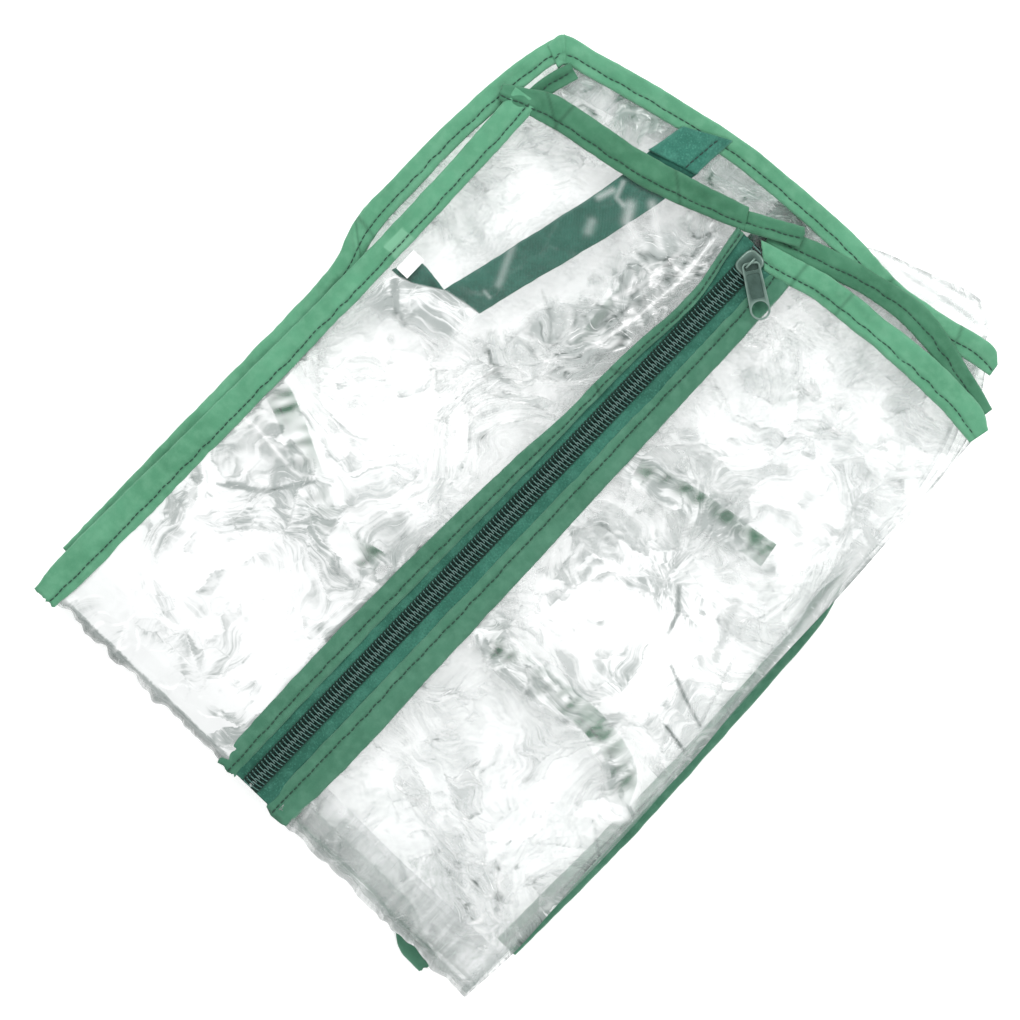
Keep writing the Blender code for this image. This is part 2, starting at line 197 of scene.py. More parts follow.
# ---------------------------------------------------------------- materials
class Nodes:
    """Short calls to build one node material."""

    def __init__(self, name):
        self.mat = bpy.data.materials.new(name)
        self.mat.use_nodes = True
        self.tree = self.mat.node_tree
        self.shader = self.tree.nodes["Principled BSDF"]

    def put(self, socket, value):
        target = self.shader.inputs[socket]
        if hasattr(value, "links"):
            self.tree.links.new(value, target)
        else:
            target.default_value = value

    def node(self, kind, inputs=(), out=0, **settings):
        n = self.tree.nodes.new(kind)
        for k, v in settings.items():
            setattr(n, k, v)
        for key, v in dict(inputs).items():
            if hasattr(v, "links"):
                self.tree.links.new(v, n.inputs[key])
            else:
                n.inputs[key].default_value = v
        return n.outputs[out]

    def place(self):
        return self.node("ShaderNodeTexCoord", out="Object")

    def attribute(self, name):
        return self.node("ShaderNodeAttribute", out="Fac", attribute_name=name)

    def noise(self, scale, detail=3.0, rough=0.55, vector=None, distortion=0.0):
        return self.node("ShaderNodeTexNoise", {"Vector": vector or self.place(), "Scale": scale,
                                                "Detail": detail, "Roughness": rough,
                                                "Distortion": distortion})

    def math(self, op, a, b=0.0, c=0.0, clamp=False):
        return self.node("ShaderNodeMath", {0: a, 1: b, 2: c}, operation=op, use_clamp=clamp)

    def ramp(self, value, low, high, to_low=0.0, to_high=1.0):
        return self.node("ShaderNodeMapRange",
                         {"Value": value, "From Min": low, "From Max": high, "To Min": to_low,
                          "To Max": to_high}, interpolation_type="SMOOTHSTEP")

    def mix(self, fac, a, b):
        n = self.tree.nodes.new("ShaderNodeMix")
        n.data_type = "RGBA"
        for key, v in ((0, fac), (6, a), (7, b)):
            if hasattr(v, "links"):
                self.tree.links.new(v, n.inputs[key])
            elif key == 0:
                n.inputs[key].default_value = v
            else:
                n.inputs[key].default_value = (*v, 1.0)
        return n.outputs[2]

    def bump(self, height, distance, strength=1.0):
        return self.node("ShaderNodeBump", {"Height": height, "Distance": distance, "Strength": strength})


def fabric(name, colour, dark, light, grain=1.0, sheen=0.12, fuzz=0.35, shaded=0.5):
    """Woven polyester: mottled colour, fine weave, edges lighter from wear and a painted highlight, and
    painted shade where the shade attribute says.
    """
    n = Nodes(name)
    cloud = n.noise(28.0, 3.0)
    mid = n.noise(160.0, 2.0)
    speck = n.noise(1500.0 / grain, 1.0, 0.7)
    base = n.mix(n.ramp(cloud, 0.3, 0.72), dark, colour)
    base = n.mix(n.math("MULTIPLY", n.ramp(mid, 0.35, 0.75), 0.35), base, light)
    base = n.mix(n.math("MULTIPLY", n.ramp(speck, 0.50, 0.80), fuzz), base, light)
    base = n.mix(n.math("MULTIPLY", n.ramp(speck, 0.48, 0.22), fuzz), base, dark)
    # Painted highlight and wear: the edge attribute lightens the ribbon's edges.
    edge = n.attribute("edge")
    base = n.mix(n.math("MULTIPLY", edge, 0.55), base, light)
    shade = n.attribute("shade")
    base = n.mix(n.math("MULTIPLY", shade, 0.8, clamp=True), base, tuple(shaded * v for v in dark))
    n.put("Base Color", base)
    along, across = n.attribute("along"), n.attribute("across")
    warp = n.math("SINE", n.math("MULTIPLY", along, 2 * math.pi / (0.55 * grain)))
    weft = n.math("SINE", n.math("MULTIPLY", across, 2 * math.pi / (0.55 * grain)))
    weave = n.math("MULTIPLY_ADD", n.math("MULTIPLY", warp, weft), 0.5, speck)
    n.put("Normal", n.bump(weave, 0.00012 * grain, 0.75))
    n.put("Roughness", n.ramp(speck, 0.2, 0.8, 0.62, 0.88))
    n.put("Specular IOR Level", 0.3)
    n.put("Sheen Weight", sheen)
    n.put("Sheen Roughness", 0.5)
    return n.mat


def thread_material(name, colour):
    n = Nodes(name)
    twist = n.noise(2200.0, 1.0)
    n.put("Base Color", n.mix(n.ramp(twist, 0.3, 0.7), colour, tuple(2.2 * v + 0.01 for v in colour)))
    n.put("Roughness", n.ramp(twist, 0.3, 0.7, 0.5, 0.75))
    n.put("Normal", n.bump(twist, 0.00008, 0.6))
    return n.mat


BIAS = fabric("bias_binding", (0.048, 0.188, 0.102), (0.033, 0.146, 0.076), (0.094, 0.26, 0.158),
       fuzz=0.22)
BIAS_LIT = fabric("bias_binding_lit", (0.098, 0.320, 0.185), (0.070, 0.250, 0.138),
                  (0.17, 0.41, 0.26), fuzz=0.22)
BIAS_DEEP = fabric("bias_binding_deep", (0.058, 0.190, 0.118), (0.038, 0.150, 0.088),
                   (0.115, 0.28, 0.19), fuzz=0.22)
TAPE = fabric("zip_tape", (0.024, 0.142, 0.097), (0.008, 0.082, 0.053), (0.066, 0.230, 0.168),
              grain=1.5, fuzz=0.6, shaded=0.06)
WEBBING = fabric("webbing", (0.027, 0.172, 0.122), (0.011, 0.108, 0.074), (0.074, 0.272, 0.203),
                 grain=1.6, sheen=0.2, fuzz=0.65)
# Painted shade: a darker copy of the webbing for the strap run that lies under the film.
WEBBING_SHADED = fabric("webbing_shaded", (0.011, 0.108, 0.075), (0.005, 0.066, 0.045), (0.038, 0.170,
       0.124),
                       grain=1.6, sheen=0.1, fuzz=0.65)
THREAD = thread_material("thread", (0.003, 0.026, 0.015))
THREAD_BLACK = thread_material("zip_thread", (0.003, 0.018, 0.014))


def coil_material():
    """Nylon monofilament: pale on top, with painted shade making it nearly black where it dives and a
    painted highlight greying it along the chain's centre.
    """
    n = Nodes("zip_coil")
    cloud = n.noise(700.0, 2.0)
    depth, centre = n.attribute("depth"), n.attribute("centre")
    base = n.mix(n.ramp(cloud, 0.35, 0.65), (0.050, 0.150, 0.128), (0.095, 0.215, 0.188))
    # Painted highlight: paler grey along the chain's centre line.
    base = n.mix(n.math("MULTIPLY", centre, 0.35), base, (0.20, 0.215, 0.21))
    # Painted shade: nearly black where the wire dives.
    base = n.mix(depth, base, (0.003, 0.020, 0.016))
    n.put("Base Color", base)
    n.put("Roughness", n.ramp(cloud, 0.3, 0.7, 0.38, 0.52))
    n.put("Specular IOR Level", 0.3)
    n.put("Normal", n.bump(cloud, 0.00005, 0.4))
    return n.mat


def paint_material():
    """Painted die casting: mottled dark colour and lighter rims, partly wear and partly painted
    highlight.
    """
    n = Nodes("painted_metal")
    cloud = n.noise(260.0, 4.0)
    orange = n.noise(1500.0, 2.0)
    # Lighter rims: partly wear, partly painted highlight.
    wear_and_highlight = n.attribute("edge")
    base = n.mix(n.ramp(cloud, 0.3, 0.7), (0.030, 0.066, 0.052), (0.046, 0.092, 0.075))
    base = n.mix(n.math("MULTIPLY", wear_and_highlight, n.ramp(cloud, 0.15, 0.6, 0.5, 1.0)), base, (0.19, 0.28, 0.24))
    n.put("Base Color", base)
    n.put("Roughness", n.ramp(orange, 0.3, 0.7, 0.30, 0.46))
    n.put("Metallic", 0.25)
    n.put("Normal", n.bump(orange, 0.00004, 0.5))
    return n.mat


COIL = coil_material()
PAINT = paint_material()


def film_material(name, clear, grey_shade_alpha, veil, grey=(0.36, 0.395, 0.385), deep=(0.07, 0.09, 0.083)):
    """Clear soft film, glossy all over, with painted light: its creased facets carry streaked painted
    grey shade, with painted dark shade along creases and painted highlights.
    """
    n = Nodes(name)
    # Painted light on the film: the grey tone is painted shade, the glint a painted highlight and the
    # dark crease lines painted shade.
    tone, glint = n.attribute("tone"), n.attribute("glint")
    crease, haze = n.attribute("crease"), n.attribute("haze")
    flow = n.node("ShaderNodeCombineXYZ", {0: n.attribute("grain_along"), 1: n.attribute("grain_across")})
    wide = n.node("ShaderNodeVectorMath", {0: flow, 1: (0.045, 0.26, 0.0)}, operation="MULTIPLY")
    fine = n.node("ShaderNodeVectorMath", {0: flow, 1: (0.10, 0.95, 0.0)}, operation="MULTIPLY")
    streak = n.noise(1.0, 4.0, 0.62, vector=wide, distortion=0.35)
    hair = n.noise(1.0, 3.0, 0.6, vector=fine, distortion=0.25)
    cloud = n.noise(48.0, 4.0, 0.6, distortion=0.6)
    soft = n.math("MULTIPLY", n.ramp(streak, 0.38, 0.62, 0.50, 1.35), n.ramp(cloud, 0.36, 0.62, 0.65,
           1.25))
    tone = n.math("MULTIPLY", tone, soft, clamp=True)
    feather = n.math("MULTIPLY", n.ramp(streak, 0.50, 0.66), n.ramp(cloud, 0.40, 0.60))
    tone = n.math("MULTIPLY_ADD", n.math("MULTIPLY", feather, n.attribute("busy")), 0.22, tone,
           clamp=True)
    # Fine streak lines: the dark ones are painted shade, the white ones painted highlight.
    hair_shade = n.math("MULTIPLY", n.ramp(hair, 0.40, 0.33), n.ramp(tone, 0.12, 0.55))
    glint_hair = n.math("MULTIPLY", n.ramp(hair, 0.60, 0.67), n.ramp(tone, 0.15, 0.5))
    crease = n.math("MULTIPLY", crease, n.ramp(cloud, 0.35, 0.60, 0.25, 1.1), clamp=True)
    crease = n.math("MULTIPLY_ADD", hair_shade, 0.38, crease, clamp=True)
    glint = n.math("MULTIPLY_ADD", glint_hair, 0.45, glint, clamp=True)
    # Painted grey shade, then painted dark crease lines, then painted white highlights.
    base = n.mix(n.ramp(tone, 0.0, 0.25), (0.97, 0.985, 0.985), grey)
    base = n.mix(crease, base, deep)
    base = n.mix(glint, base, (1.0, 1.0, 1.0))
    n.put("Base Color", base)
    alpha = n.math("MULTIPLY_ADD", tone, grey_shade_alpha, n.math("MULTIPLY_ADD", haze, veil, clear))
    alpha = n.math("MULTIPLY_ADD", crease, 0.42, alpha)
    alpha = n.math("MULTIPLY_ADD", glint, 0.62, alpha, clamp=True)
    n.put("Alpha", alpha)
    n.put("Roughness", n.ramp(cloud, 0.3, 0.7, 0.08, 0.17))
    n.put("IOR", 1.5)
    n.put("Normal", n.bump(streak, 0.0002, 0.4))
    return n.mat


# The copies differ in alpha and in their painted shade colours: darker and greener on the back ply, paler
# on the under plies.
FILM_TOP = film_material("clear_film_top", 0.025, 0.66, 0.86)
FILM_BACK = film_material("clear_film_back", 0.03, 0.66, 0.50, grey=(0.25, 0.32, 0.29),
                          deep=(0.025, 0.075, 0.05))
FILM_UNDER = film_material("clear_film_under", 0.035, 0.45, 0.45, grey=(0.45, 0.50, 0.49))


# ---------------------------------------------------------------- film plies
# Scales of facet: size mm, stretch, turn, share everywhere, share where dense, height, strength of
# painted shade and highlight
FACETS = ((64, 1.5, 0, 0.80, 0.10, 2.4, 0.30), (34, 1.9, 40, 0.66, 0.25, 1.2, 0.34),
          (17, 2.2, -28, 0.30, 0.55, 0.5, 0.46), (8, 2.2, 18, -0.08, 0.80, 0.2, 0.70))


def cells(x, y, seed, size, stretch, heading):
    """Flat facets: distance inside, distance to the edge (mm), own tint, slope and turn."""
    rng = np.random.default_rng(seed)
    table = rng.random((5, 64, 64))
    c, s = math.cos(math.radians(heading)), math.sin(math.radians(heading))
    u = (x * c + y * s) / (size * math.sqrt(stretch)) + 100
    v = (y * c - x * s) / (size / math.sqrt(stretch)) + 100
    iu, iv = np.floor(u).astype(int), np.floor(v).astype(int)
    first, second = np.full(x.shape, 9), np.full(x.shape, 9)
    tint, ramp, turn = np.zeros_like(x), np.zeros_like(x), np.zeros_like(x)
    for a in (-1, 0, 1):
        for b in (-1, 0, 1):
            i, j = (iu + a) % 64, (iv + b) % 64
            du = u - (iu + a + table[0][i, j])
            dv = v - (iv + b + table[1][i, j])
            d = np.hypot(du, dv)
            near = d < first
            second = np.where(near, first, np.minimum(second, d))
            first = np.where(near, d, first)
            way = 2 * math.pi * table[2][i, j]
            tint = np.where(near, table[3][i, j], tint)
            turn = np.where(near, table[4][i, j], turn)
            ramp = np.where(near, 0.45 + 0.75 * (du * np.cos(way) + dv * np.sin(way)), ramp)
    return first, (second - first) * size * 0.5, tint, ramp, turn


def warped(x, y, seed):
    """Facet edges bend a little."""
    wx = x + 7 * sample(field(seed + 11, 80), x, y) + 1.1 * sample(field(seed + 12, 18), x, y)
    wy = y + 7 * sample(field(seed + 13, 80), x, y) + 1.1 * sample(field(seed + 14, 18), x, y)
    return wx, wy


def crumple(x, y, seed, heading, dense):
    """Height of the crumpled film, mm: broad billows, then creased facets."""
    h = 0.9 * sample(field(seed + 40, 110, 1.6, heading), x, y)
    wx, wy = warped(x, y, seed)
    for k, (size, stretch, turn, base, more, tall, _) in enumerate(FACETS):
        first = cells(wx, wy, seed + k, size, stretch, heading + turn)[0]
        share = np.clip(base + more * dense, 0.1, 1)
        h = h + tall * share * (np.sqrt(first * first + 0.02) - 0.5)
    return h + 1.0


def film_looks(x, y, seed, heading, dense, glints=1, tones=1, veil=0):
    """Attributes that say where the film gets painted highlights (white), painted grey shade, or painted
    dark shade along creases.
    """
    clear, glint, crease = np.ones_like(x), np.zeros_like(x), np.zeros_like(x)
    wx, wy = warped(x, y, seed)
    flow = np.full_like(x, float(heading))
    for k, (size, stretch, turn, base, more, _, power) in enumerate(FACETS):
        _, edge, tint, ramp, own = cells(wx, wy, seed + k, size, stretch, heading + turn)
        drift = sample(field(seed + 31 + k, size * 1.3), x, y)
        cover = base + more * dense + 0.16 * drift
        shown = step(-0.05, 0.45, cover - tint)
        # Painted shade: a shown facet is greyed more towards one side, with a painted dark line along its
        # edge and a painted highlight beside it.
        body = np.clip(ramp + 0.10, 0, 1.1) ** 1.3
        clear = clear * (1 - np.clip(power * shown * body, 0, 0.95))
        broken = step(-0.4, 0.7, sample(field(seed + 51 + k, 16), x, y))
        crease = crease + (0.5, 0.55, 0.6, 0.6)[k] * shown * broken * np.exp(-(edge / 0.6) ** 2)
        glint = glint + 0.75 * power * shown * (1 - broken) * np.exp(-((edge - 0.9) / 0.7) ** 2)
        if k < 3:
            flow = flow + (62, 34, 18)[k] * (2 * own - 1)
    away = np.radians(flow)
    return {"glint": np.clip(glint * glints, 0, 1), "tone": np.clip((1 - clear) * tones, 0, 1),
            "busy": np.clip(tones * (0.65 + 0.5 * dense), 0, 1),
            "crease": np.clip(crease * tones, 0, 1), "haze": np.clip(veil + 0 * x, 0, 1),
            "grain_along": wx * np.cos(away) + wy * np.sin(away),
            "grain_across": wy * np.cos(away) - wx * np.sin(away)}


def nothing(x, y):
    return np.zeros_like(x)


def line_distance(x, y, points):
    """Distance from each point to a broken line."""
    best = np.full(x.shape, 1e9)
    for (ax, ay), (bx, by) in zip(points[:-1], points[1:]):
        dx, dy = bx - ax, by - ay
        t = np.clip(((x - ax) * dx + (y - ay) * dy) / (dx * dx + dy * dy), 0, 1)
        best = np.minimum(best, np.hypot(x - ax - t * dx, y - ay - t * dy))
    return best


def film(name, edges, level, material, seed=1, heading=40, spacing=1.25, amount=1, rise=0,
         tuck=12, dense=nothing, glints=1, tones=None, veil=nothing, window=nothing, marks=(),
         panes=None, floor_of=None, low=None, high=None, end_fold=None, top_fold=None):
    """One ply of film between four edges, with a fold at its near or far end."""
    bottom, right, top, left = edges
    wide = max(np.ptp([p[0] for p in bottom]), np.ptp([p[0] for p in top]))
    tall = max(np.ptp([p[1] for p in left]), np.ptp([p[1] for p in right]))
    cols, rows = int(wide / spacing) + 2, int(tall / spacing) + 2
    x, y = coons(bottom, right, top, left, cols, rows)
    density = dense(x, y)

    def height(px, py):
        return crumple(px, py, seed, heading, dense(px, py))

    h = height(x, y) - 0.9
    u = np.linspace(0, 1, cols)[None, :] * np.ones((rows, 1))
    v = np.linspace(0, 1, rows)[:, None] * np.ones((1, cols))
    du, dv = np.minimum(u, 1 - u) * wide, np.minimum(v, 1 - v) * tall
    inside = step(0, tuck, du) * step(0, tuck, dv)
    z = level + amount * h * (0.25 + 0.75 * inside) + rise * step(0, 45, du) * step(0, 45, dv)
    z = np.minimum(z, level + 0.15 + 4.0 * step(7, 24, np.minimum(du, dv)))
    if floor_of is not None:
        bed = floor_of(x, y)
        z = np.maximum(z, bed + 0.6)
    if low is not None:
        z = np.maximum(z, low + 0.12 * (h - h.min()))
    if high is not None:
        z = np.minimum(z, high - 0.12 * (h.max() - h))
    tones = np.ones_like(x) if tones is None else tones(x, y)
    looks = film_looks(x, y, seed, heading, density, glints, tones, veil(x, y))
    open_at = 1 - 0.97 * np.clip(window(x, y), 0, 1)
    for key in ("tone", "crease", "haze", "busy"):
        looks[key] = looks[key] * open_at
    looks["glint"] = looks["glint"] * np.sqrt(open_at)
    # Painted marks: extra painted shade, dark crease lines and painted highlights along given lines.
    for points, width, change in marks:
        near = np.exp(-(line_distance(x, y, points) / width) ** 2)
        for key, amount_here in change.items():
            looks[key] = np.clip(looks[key] + amount_here * near, 0, 1)
    if panes is not None:
        panes(x, y, looks)
    # Painted shade: a thin grey and dark line along the ply's cut edges.
    border = np.exp(-(np.minimum(du, dv) / 0.8) ** 2)
    looks["crease"] = np.clip(looks["crease"] + 0.45 * border, 0, 1)
    looks["tone"] = np.clip(looks["tone"] + 0.5 * border, 0, 1)
    if end_fold:
        x, y, z, looks = add_fold(x, y, z, looks, end_fold, "end")
    if top_fold:
        x, y, z, looks = add_fold(x, y, z, looks, top_fold, "top")
    rows, cols = x.shape
    obj = new_object(name, np.stack([x, y, z], -1).reshape(-1, 3), grid_faces(rows, cols), [material])
    for key, values in looks.items():
        point_attribute(obj, key, values)
    return obj


def add_fold(x, y, z, looks, how, where):
    """Carry a ply round a fold: out by reach, to another level, and back."""
    reach, to_level, back = how
    turns, lap = 9, max(2, int(back / 2.5))
    at, outward = (0, -1) if where == "end" else (-1, 1)
    ex, ey, ez = x[at], y[at], z[at]
    new = []
    ripple = 0.8 * sample(field(77, 24), ex, ey) + 0.5 * sample(field(78, 9), ex, ey)
    for k in range(1, turns + 1):
        a = math.pi * k / turns
        out = (reach + ripple) * math.sin(a) - 0.5 * k / turns
        new.append((out, ez * (1 + math.cos(a)) / 2 + to_level * (1 - math.cos(a)) / 2, math.sin(a)))
    for k in range(1, lap + 1):
        new.append((-0.5 - back * k / lap, to_level + 0.25 * ripple * k / lap, 0.2))
    parts = []
    for out, level, dark in new:
        parts.append((ex, ey + outward * out, np.broadcast_to(level, ex.shape), dark))
    line = 0.5 + 0.5 * sample(field(79, 17, 3, 0), ex, ey)
    # Painted light round the fold's bend: painted highlight, grey shade and dark crease lines grow with
    # the bend; the lap gets a white veil.
    extra = {"glint": lambda d: 0.35 * np.clip(line, 0, 1) * d, "tone": lambda d: 0.25 + 0.25 * line * d,
             "crease": lambda d: 0.30 * d * np.clip(1.2 - line, 0, 1),
             "haze": lambda d: 0.25 + 0 * line, "busy": lambda d: 0.5 + 0 * line,
             "grain_along": lambda d: ex + ey, "grain_across": lambda d: ey - ex + 3 * d}

    def join(grid, cells):
        if where == "end":
            return np.vstack([np.array(cells[::-1]), grid])
        return np.vstack([grid, np.array(cells)])

    nx = join(x, [p[0] for p in parts])
    ny = join(y, [p[1] for p in parts])
    nz = join(z, [p[2] for p in parts])
    looks = {k: join(g, [extra[k](p[3]) if "grain" in k else np.clip(extra[k](p[3]), 0, 1)
                         for p in parts]) for k, g in looks.items()}
    return nx, ny, nz, looks


# Measured edges of the film panels, as (bottom, right, top, left)
FOLD_Y = -207.5
LEFT_MID = [(-139.5, FOLD_Y), (-138.5, -190), (-136.5, -40), (-137, 30), (-139.5, 131)]
ZIP_LEFT_MID = [(-14, FOLD_Y), (-14, -66), (-12.5, 3), (-10, 85), (-8.8, 128), (-13.5, 160)]
FRONT_TOP_MID = [(-139.5, 131), (-126, 139), (-73, 148), (-40, 157.5), (-13.5, 160)]
ZIP_RIGHT_MID = [(18.5, FOLD_Y), (19, -113), (17.8, -40), (14.5, 130), (14, 158)]
DOOR_TOP_MID = [(14, 158), (43, 168), (80, 171.7), (108, 173.3), (141, 170)]
FILM_RIGHT = [(151, FOLD_Y), (153, -178), (150.6, -115.6), (151, -48.4), (148, -5.2),
              (146.6, 76.5), (141, 170)]
REAR_LEFT_MID = [(-143.5, FOLD_Y), (-143.5, 8), (-152, 31), (-152, 100), (-146, 164)]
ROOF_REAR_MID = [(-146, 164), (-103, 175), (-47, 188), (28, 192), (62, 190), (119, 200)]
BACK_RIGHT = [(150.5, FOLD_Y), (151, -178), (149, -115), (149, -48), (147, -5), (144.5, 76),
              (139, 165), (119, 200)]

front_left_edges = ([(-139.5, FOLD_Y), (-14, FOLD_Y)], ZIP_LEFT_MID, FRONT_TOP_MID, LEFT_MID)
door_edges = ([(18.5, FOLD_Y), (85, FOLD_Y - 1), (151, FOLD_Y)], FILM_RIGHT, DOOR_TOP_MID, ZIP_RIGHT_MID)
back_edges = ([(-143.5, FOLD_Y), (150.5, FOLD_Y)], BACK_RIGHT, ROOF_REAR_MID, REAR_LEFT_MID)


def dense_left(x, y):
    """Where the left panel is creased hardest."""
    return zones(x, y, 0, (1.25, -23, 112, 13, 46), (0.55, -45, 125, 26, 30), (0.45, -45, 30, 32, 40),
        (0.35, -122, -105, 9, 34), (0.95, -27, -78, 11, 26), (0.30, -80, -10, 40, 40),
        (0.35, -28, -195, 16, 20), (0.25, -126, 10, 10, 60), (0.3, -95, 5, 22, 22),
        (0.40, -42, 60, 15, 70), (0.35, -108, 95, 20, 38))


def veil_left(x, y):
    """Where the left panel is milky white rather than clear."""
    return np.clip(zones(x, y, 0.8 * step(0, -95, y + 0.25 * (x + 80)), (0.35, -60, 55, 25, 22),
        (-0.6, -115, -60, 25, 26), (-0.5, -45, -86, 30, 16)), 0, 1)


# Amount of painted grey shade on the left panel.
def tones_left(x, y):
    return np.clip(zones(x, y, 1.10 - 0.74 * step(-45, -110, y), (0.25, -23, 112, 16, 50),
        (0.35, -122, -110, 10, 30), (0.6, -27, -78, 14, 30), (-0.50, -70, -50, 30, 26),
        (0.35, -26, -200, 14, 16), (0.60, -42, 66, 18, 75), (0.45, -108, 95, 24, 40)), 0, 1.75)


def dense_door(x, y):
    """Where the door panel is creased hardest."""
    return zones(x, y, 0, (0.60, 42, 0, 18, 34), (0.30, 108, 25, 14, 26), (0.60, 60, -165, 45, 38),
        (0.65, 125, -175, 22, 32), (0.35, 85, 120, 40, 30), (0.55, 34, 130, 12, 30),
        (0.45, 60, -110, 45, 22), (0.3, 118, 15, 8, 20), (0.3, 128, 130, 12, 40))


def veil_door(x, y):
    return np.clip(zones(x, y, 0, (0.9, 78, -12, 50, 40), (0.5, 110, 85, 34, 36), (0.4, 55, 70, 26, 22),
        (0.5, 105, -45, 34, 16)), 0, 1)


# Amount of painted grey shade on the door panel.
def tones_door(x, y):
    return np.clip(zones(x, y, 0.92 + 0.40 * step(-90, -150, y) + 0.22 * step(60, 130, y),
        (-0.80, 82, -14, 40, 28), (-0.6, 112, 78, 26, 30), (-0.5, 60, 78, 20, 20),
        (-0.5, 118, -50, 24, 14)), 0, 1.25)


SIDE_INNER = [(133.5, 92), (141.5, 20), (151, -46)]     # inner edge of the rolled right side
# Lines drawn on the door panel: painted shade (grey and dark crease lines) and painted highlights along
# folds.
MARKS_DOOR = (
    (SIDE_INNER, 0.7, {"crease": 0.30, "tone": 0.2}),
    ([(129.6, -44.4), (151.5, -48.3)], 0.8, {"crease": 0.75, "tone": 0.5}),
    ([(110.6, -21), (126, -27.5), (141.5, -32.6)], 0.8, {"crease": 0.55, "tone": 0.4}),
    ([(141.5, -32.6), (136, -14), (130.3, 3.4)], 0.7, {"crease": 0.28, "tone": 0.25}),
    ([(136, -103.5), (150.6, -114.8)], 0.8, {"crease": 0.6, "tone": 0.5}),
    ([(112, 24), (118, 10), (124, -4)], 2.2, {"crease": 0.15, "tone": 0.35}),
    ([(86, 10), (95, 0), (98, -10)], 1, {"crease": 0.35, "tone": 0.35}),
    ([(152, -178), (150.4, -150), (150.2, -118)], 2, {"crease": 0.45, "tone": 0.5}),
    ([(148, -205), (150, -185)], 3.4, {"crease": 0.35, "tone": 0.5}),
    ([(150.6, -46), (148.2, -5), (147, 60)], 1.6, {"crease": 0.35, "tone": 0.35}),
)
# Lines drawn on the left panel: painted shade (grey and dark crease lines) and painted highlights along
# folds.
MARKS_LEFT = (
    ([(-136, -80), (-122, -78), (-98, -80.5)], 0.9, {"glint": 0.5, "crease": 0.1}),
    ([(-112, -108), (-96, -98), (-82, -78)], 0.8, {"crease": 0.22, "tone": 0.3}),
    ([(-116, -112), (-99, -101), (-84, -81)], 0.7, {"crease": 0.16, "tone": 0.2}),
    ([(-129.5, -95), (-128.8, -60), (-128.6, -20), (-128.8, 60)], 0.9, {"crease": 0.3, "tone": 0.3}),
    ([(-20.8, -60), (-21.6, -95), (-22.5, -130)], 1.3, {"crease": 0.4, "tone": 0.5}),
    ([(-91.2, 74.6), (-83.2, 56.8)], 1.9, {"glint": 0.26}),
    ([(-71.4, 111.5), (-69.5, 107)], 2.4, {"glint": 0.28}),
    ([(-77.5, 123), (-75, 130)], 1.8, {"glint": 0.42}),
    ([(-74, 137), (-71, 129), (-66, 128.5)], 1.2, {"glint": 0.36}),
    ([(-63.5, 131), (-59, 124), (-52, 122), (-44, 121)], 2.8, {"glint": 0.42}),
    ([(-56, 139), (-47, 133), (-38, 126)], 2.3, {"glint": 0.40}),
    ([(-86, 49.5), (-82, 49)], 0.8, {"glint": 0.3}),
    ([(-17.5, 146), (-15.2, 122), (-17.5, 92), (-22, 64)], 1.5, {"crease": 0.75, "tone": 0.8}),
    ([(-21.5, 148), (-19.4, 120), (-22.5, 92), (-28, 70)], 0.9, {"glint": 0.5, "tone": 0.3}),
    ([(-24.5, 150), (-23, 122), (-27.5, 96), (-33, 78)], 1.2, {"crease": 0.6, "tone": 0.8}),
    ([(-29, 138), (-30.5, 112), (-37, 92)], 1.3, {"glint": 0.3, "crease": 0.3, "tone": 0.5}),
    ([(-26, 132), (-34, 121), (-41, 119)], 1, {"crease": 0.5, "tone": 0.5}),
    ([(-20, 104), (-30, 98), (-42, 101)], 1, {"crease": 0.4, "tone": 0.5}),
    ([(-22, 84), (-34, 74), (-47, 76)], 1, {"crease": 0.35, "tone": 0.5}),
    ([(-38, 45), (-52, 62), (-66, 70)], 0.8, {"crease": 0.3, "tone": 0.35}),
    ([(-64, 30), (-52, 24), (-40, 26)], 1.6, {"crease": 0.3, "tone": 0.6}),
    ([(-122, 22), (-112, 12), (-104, 10)], 1.4, {"crease": 0.35, "tone": 0.7}),
    ([(-128, 122), (-116, 118), (-98, 128)], 1.3, {"crease": 0.2, "tone": 0.6}),
)


def side_roll(x, y, looks):
    """The rolled right side: smooth and pale warm grey from painted shade, darker at its outer edge, with
    a painted highlight band across it.
    """
    looks["busy"] = looks["busy"] * (1 - step(130, 138, x) * step(-48, -40, y))
    inner = np.interp(y, [p[1] for p in SIDE_INNER[::-1]], [p[0] for p in SIDE_INNER[::-1]])
    inside = step(-0.4, 0.6, x - inner) * step(-48, -45, y) * (1 - step(86, 100, y))
    across = np.clip((x - inner) / 12, 0, 1)
    looks["tone"] = looks["tone"] * (1 - inside) + inside * (0.28 + 0.50 * across ** 2)
    looks["crease"] = looks["crease"] * (1 - 0.9 * inside) + inside * 0.12 * step(0.55, 1, across)
    lit = step(0.25, 0.5, across) * step(0.8, 0.6, across)
    looks["glint"] = looks["glint"] * (1 - inside) + inside * 0.35 * lit
    looks["haze"] = looks["haze"] * (1 - inside) + 0.35 * inside


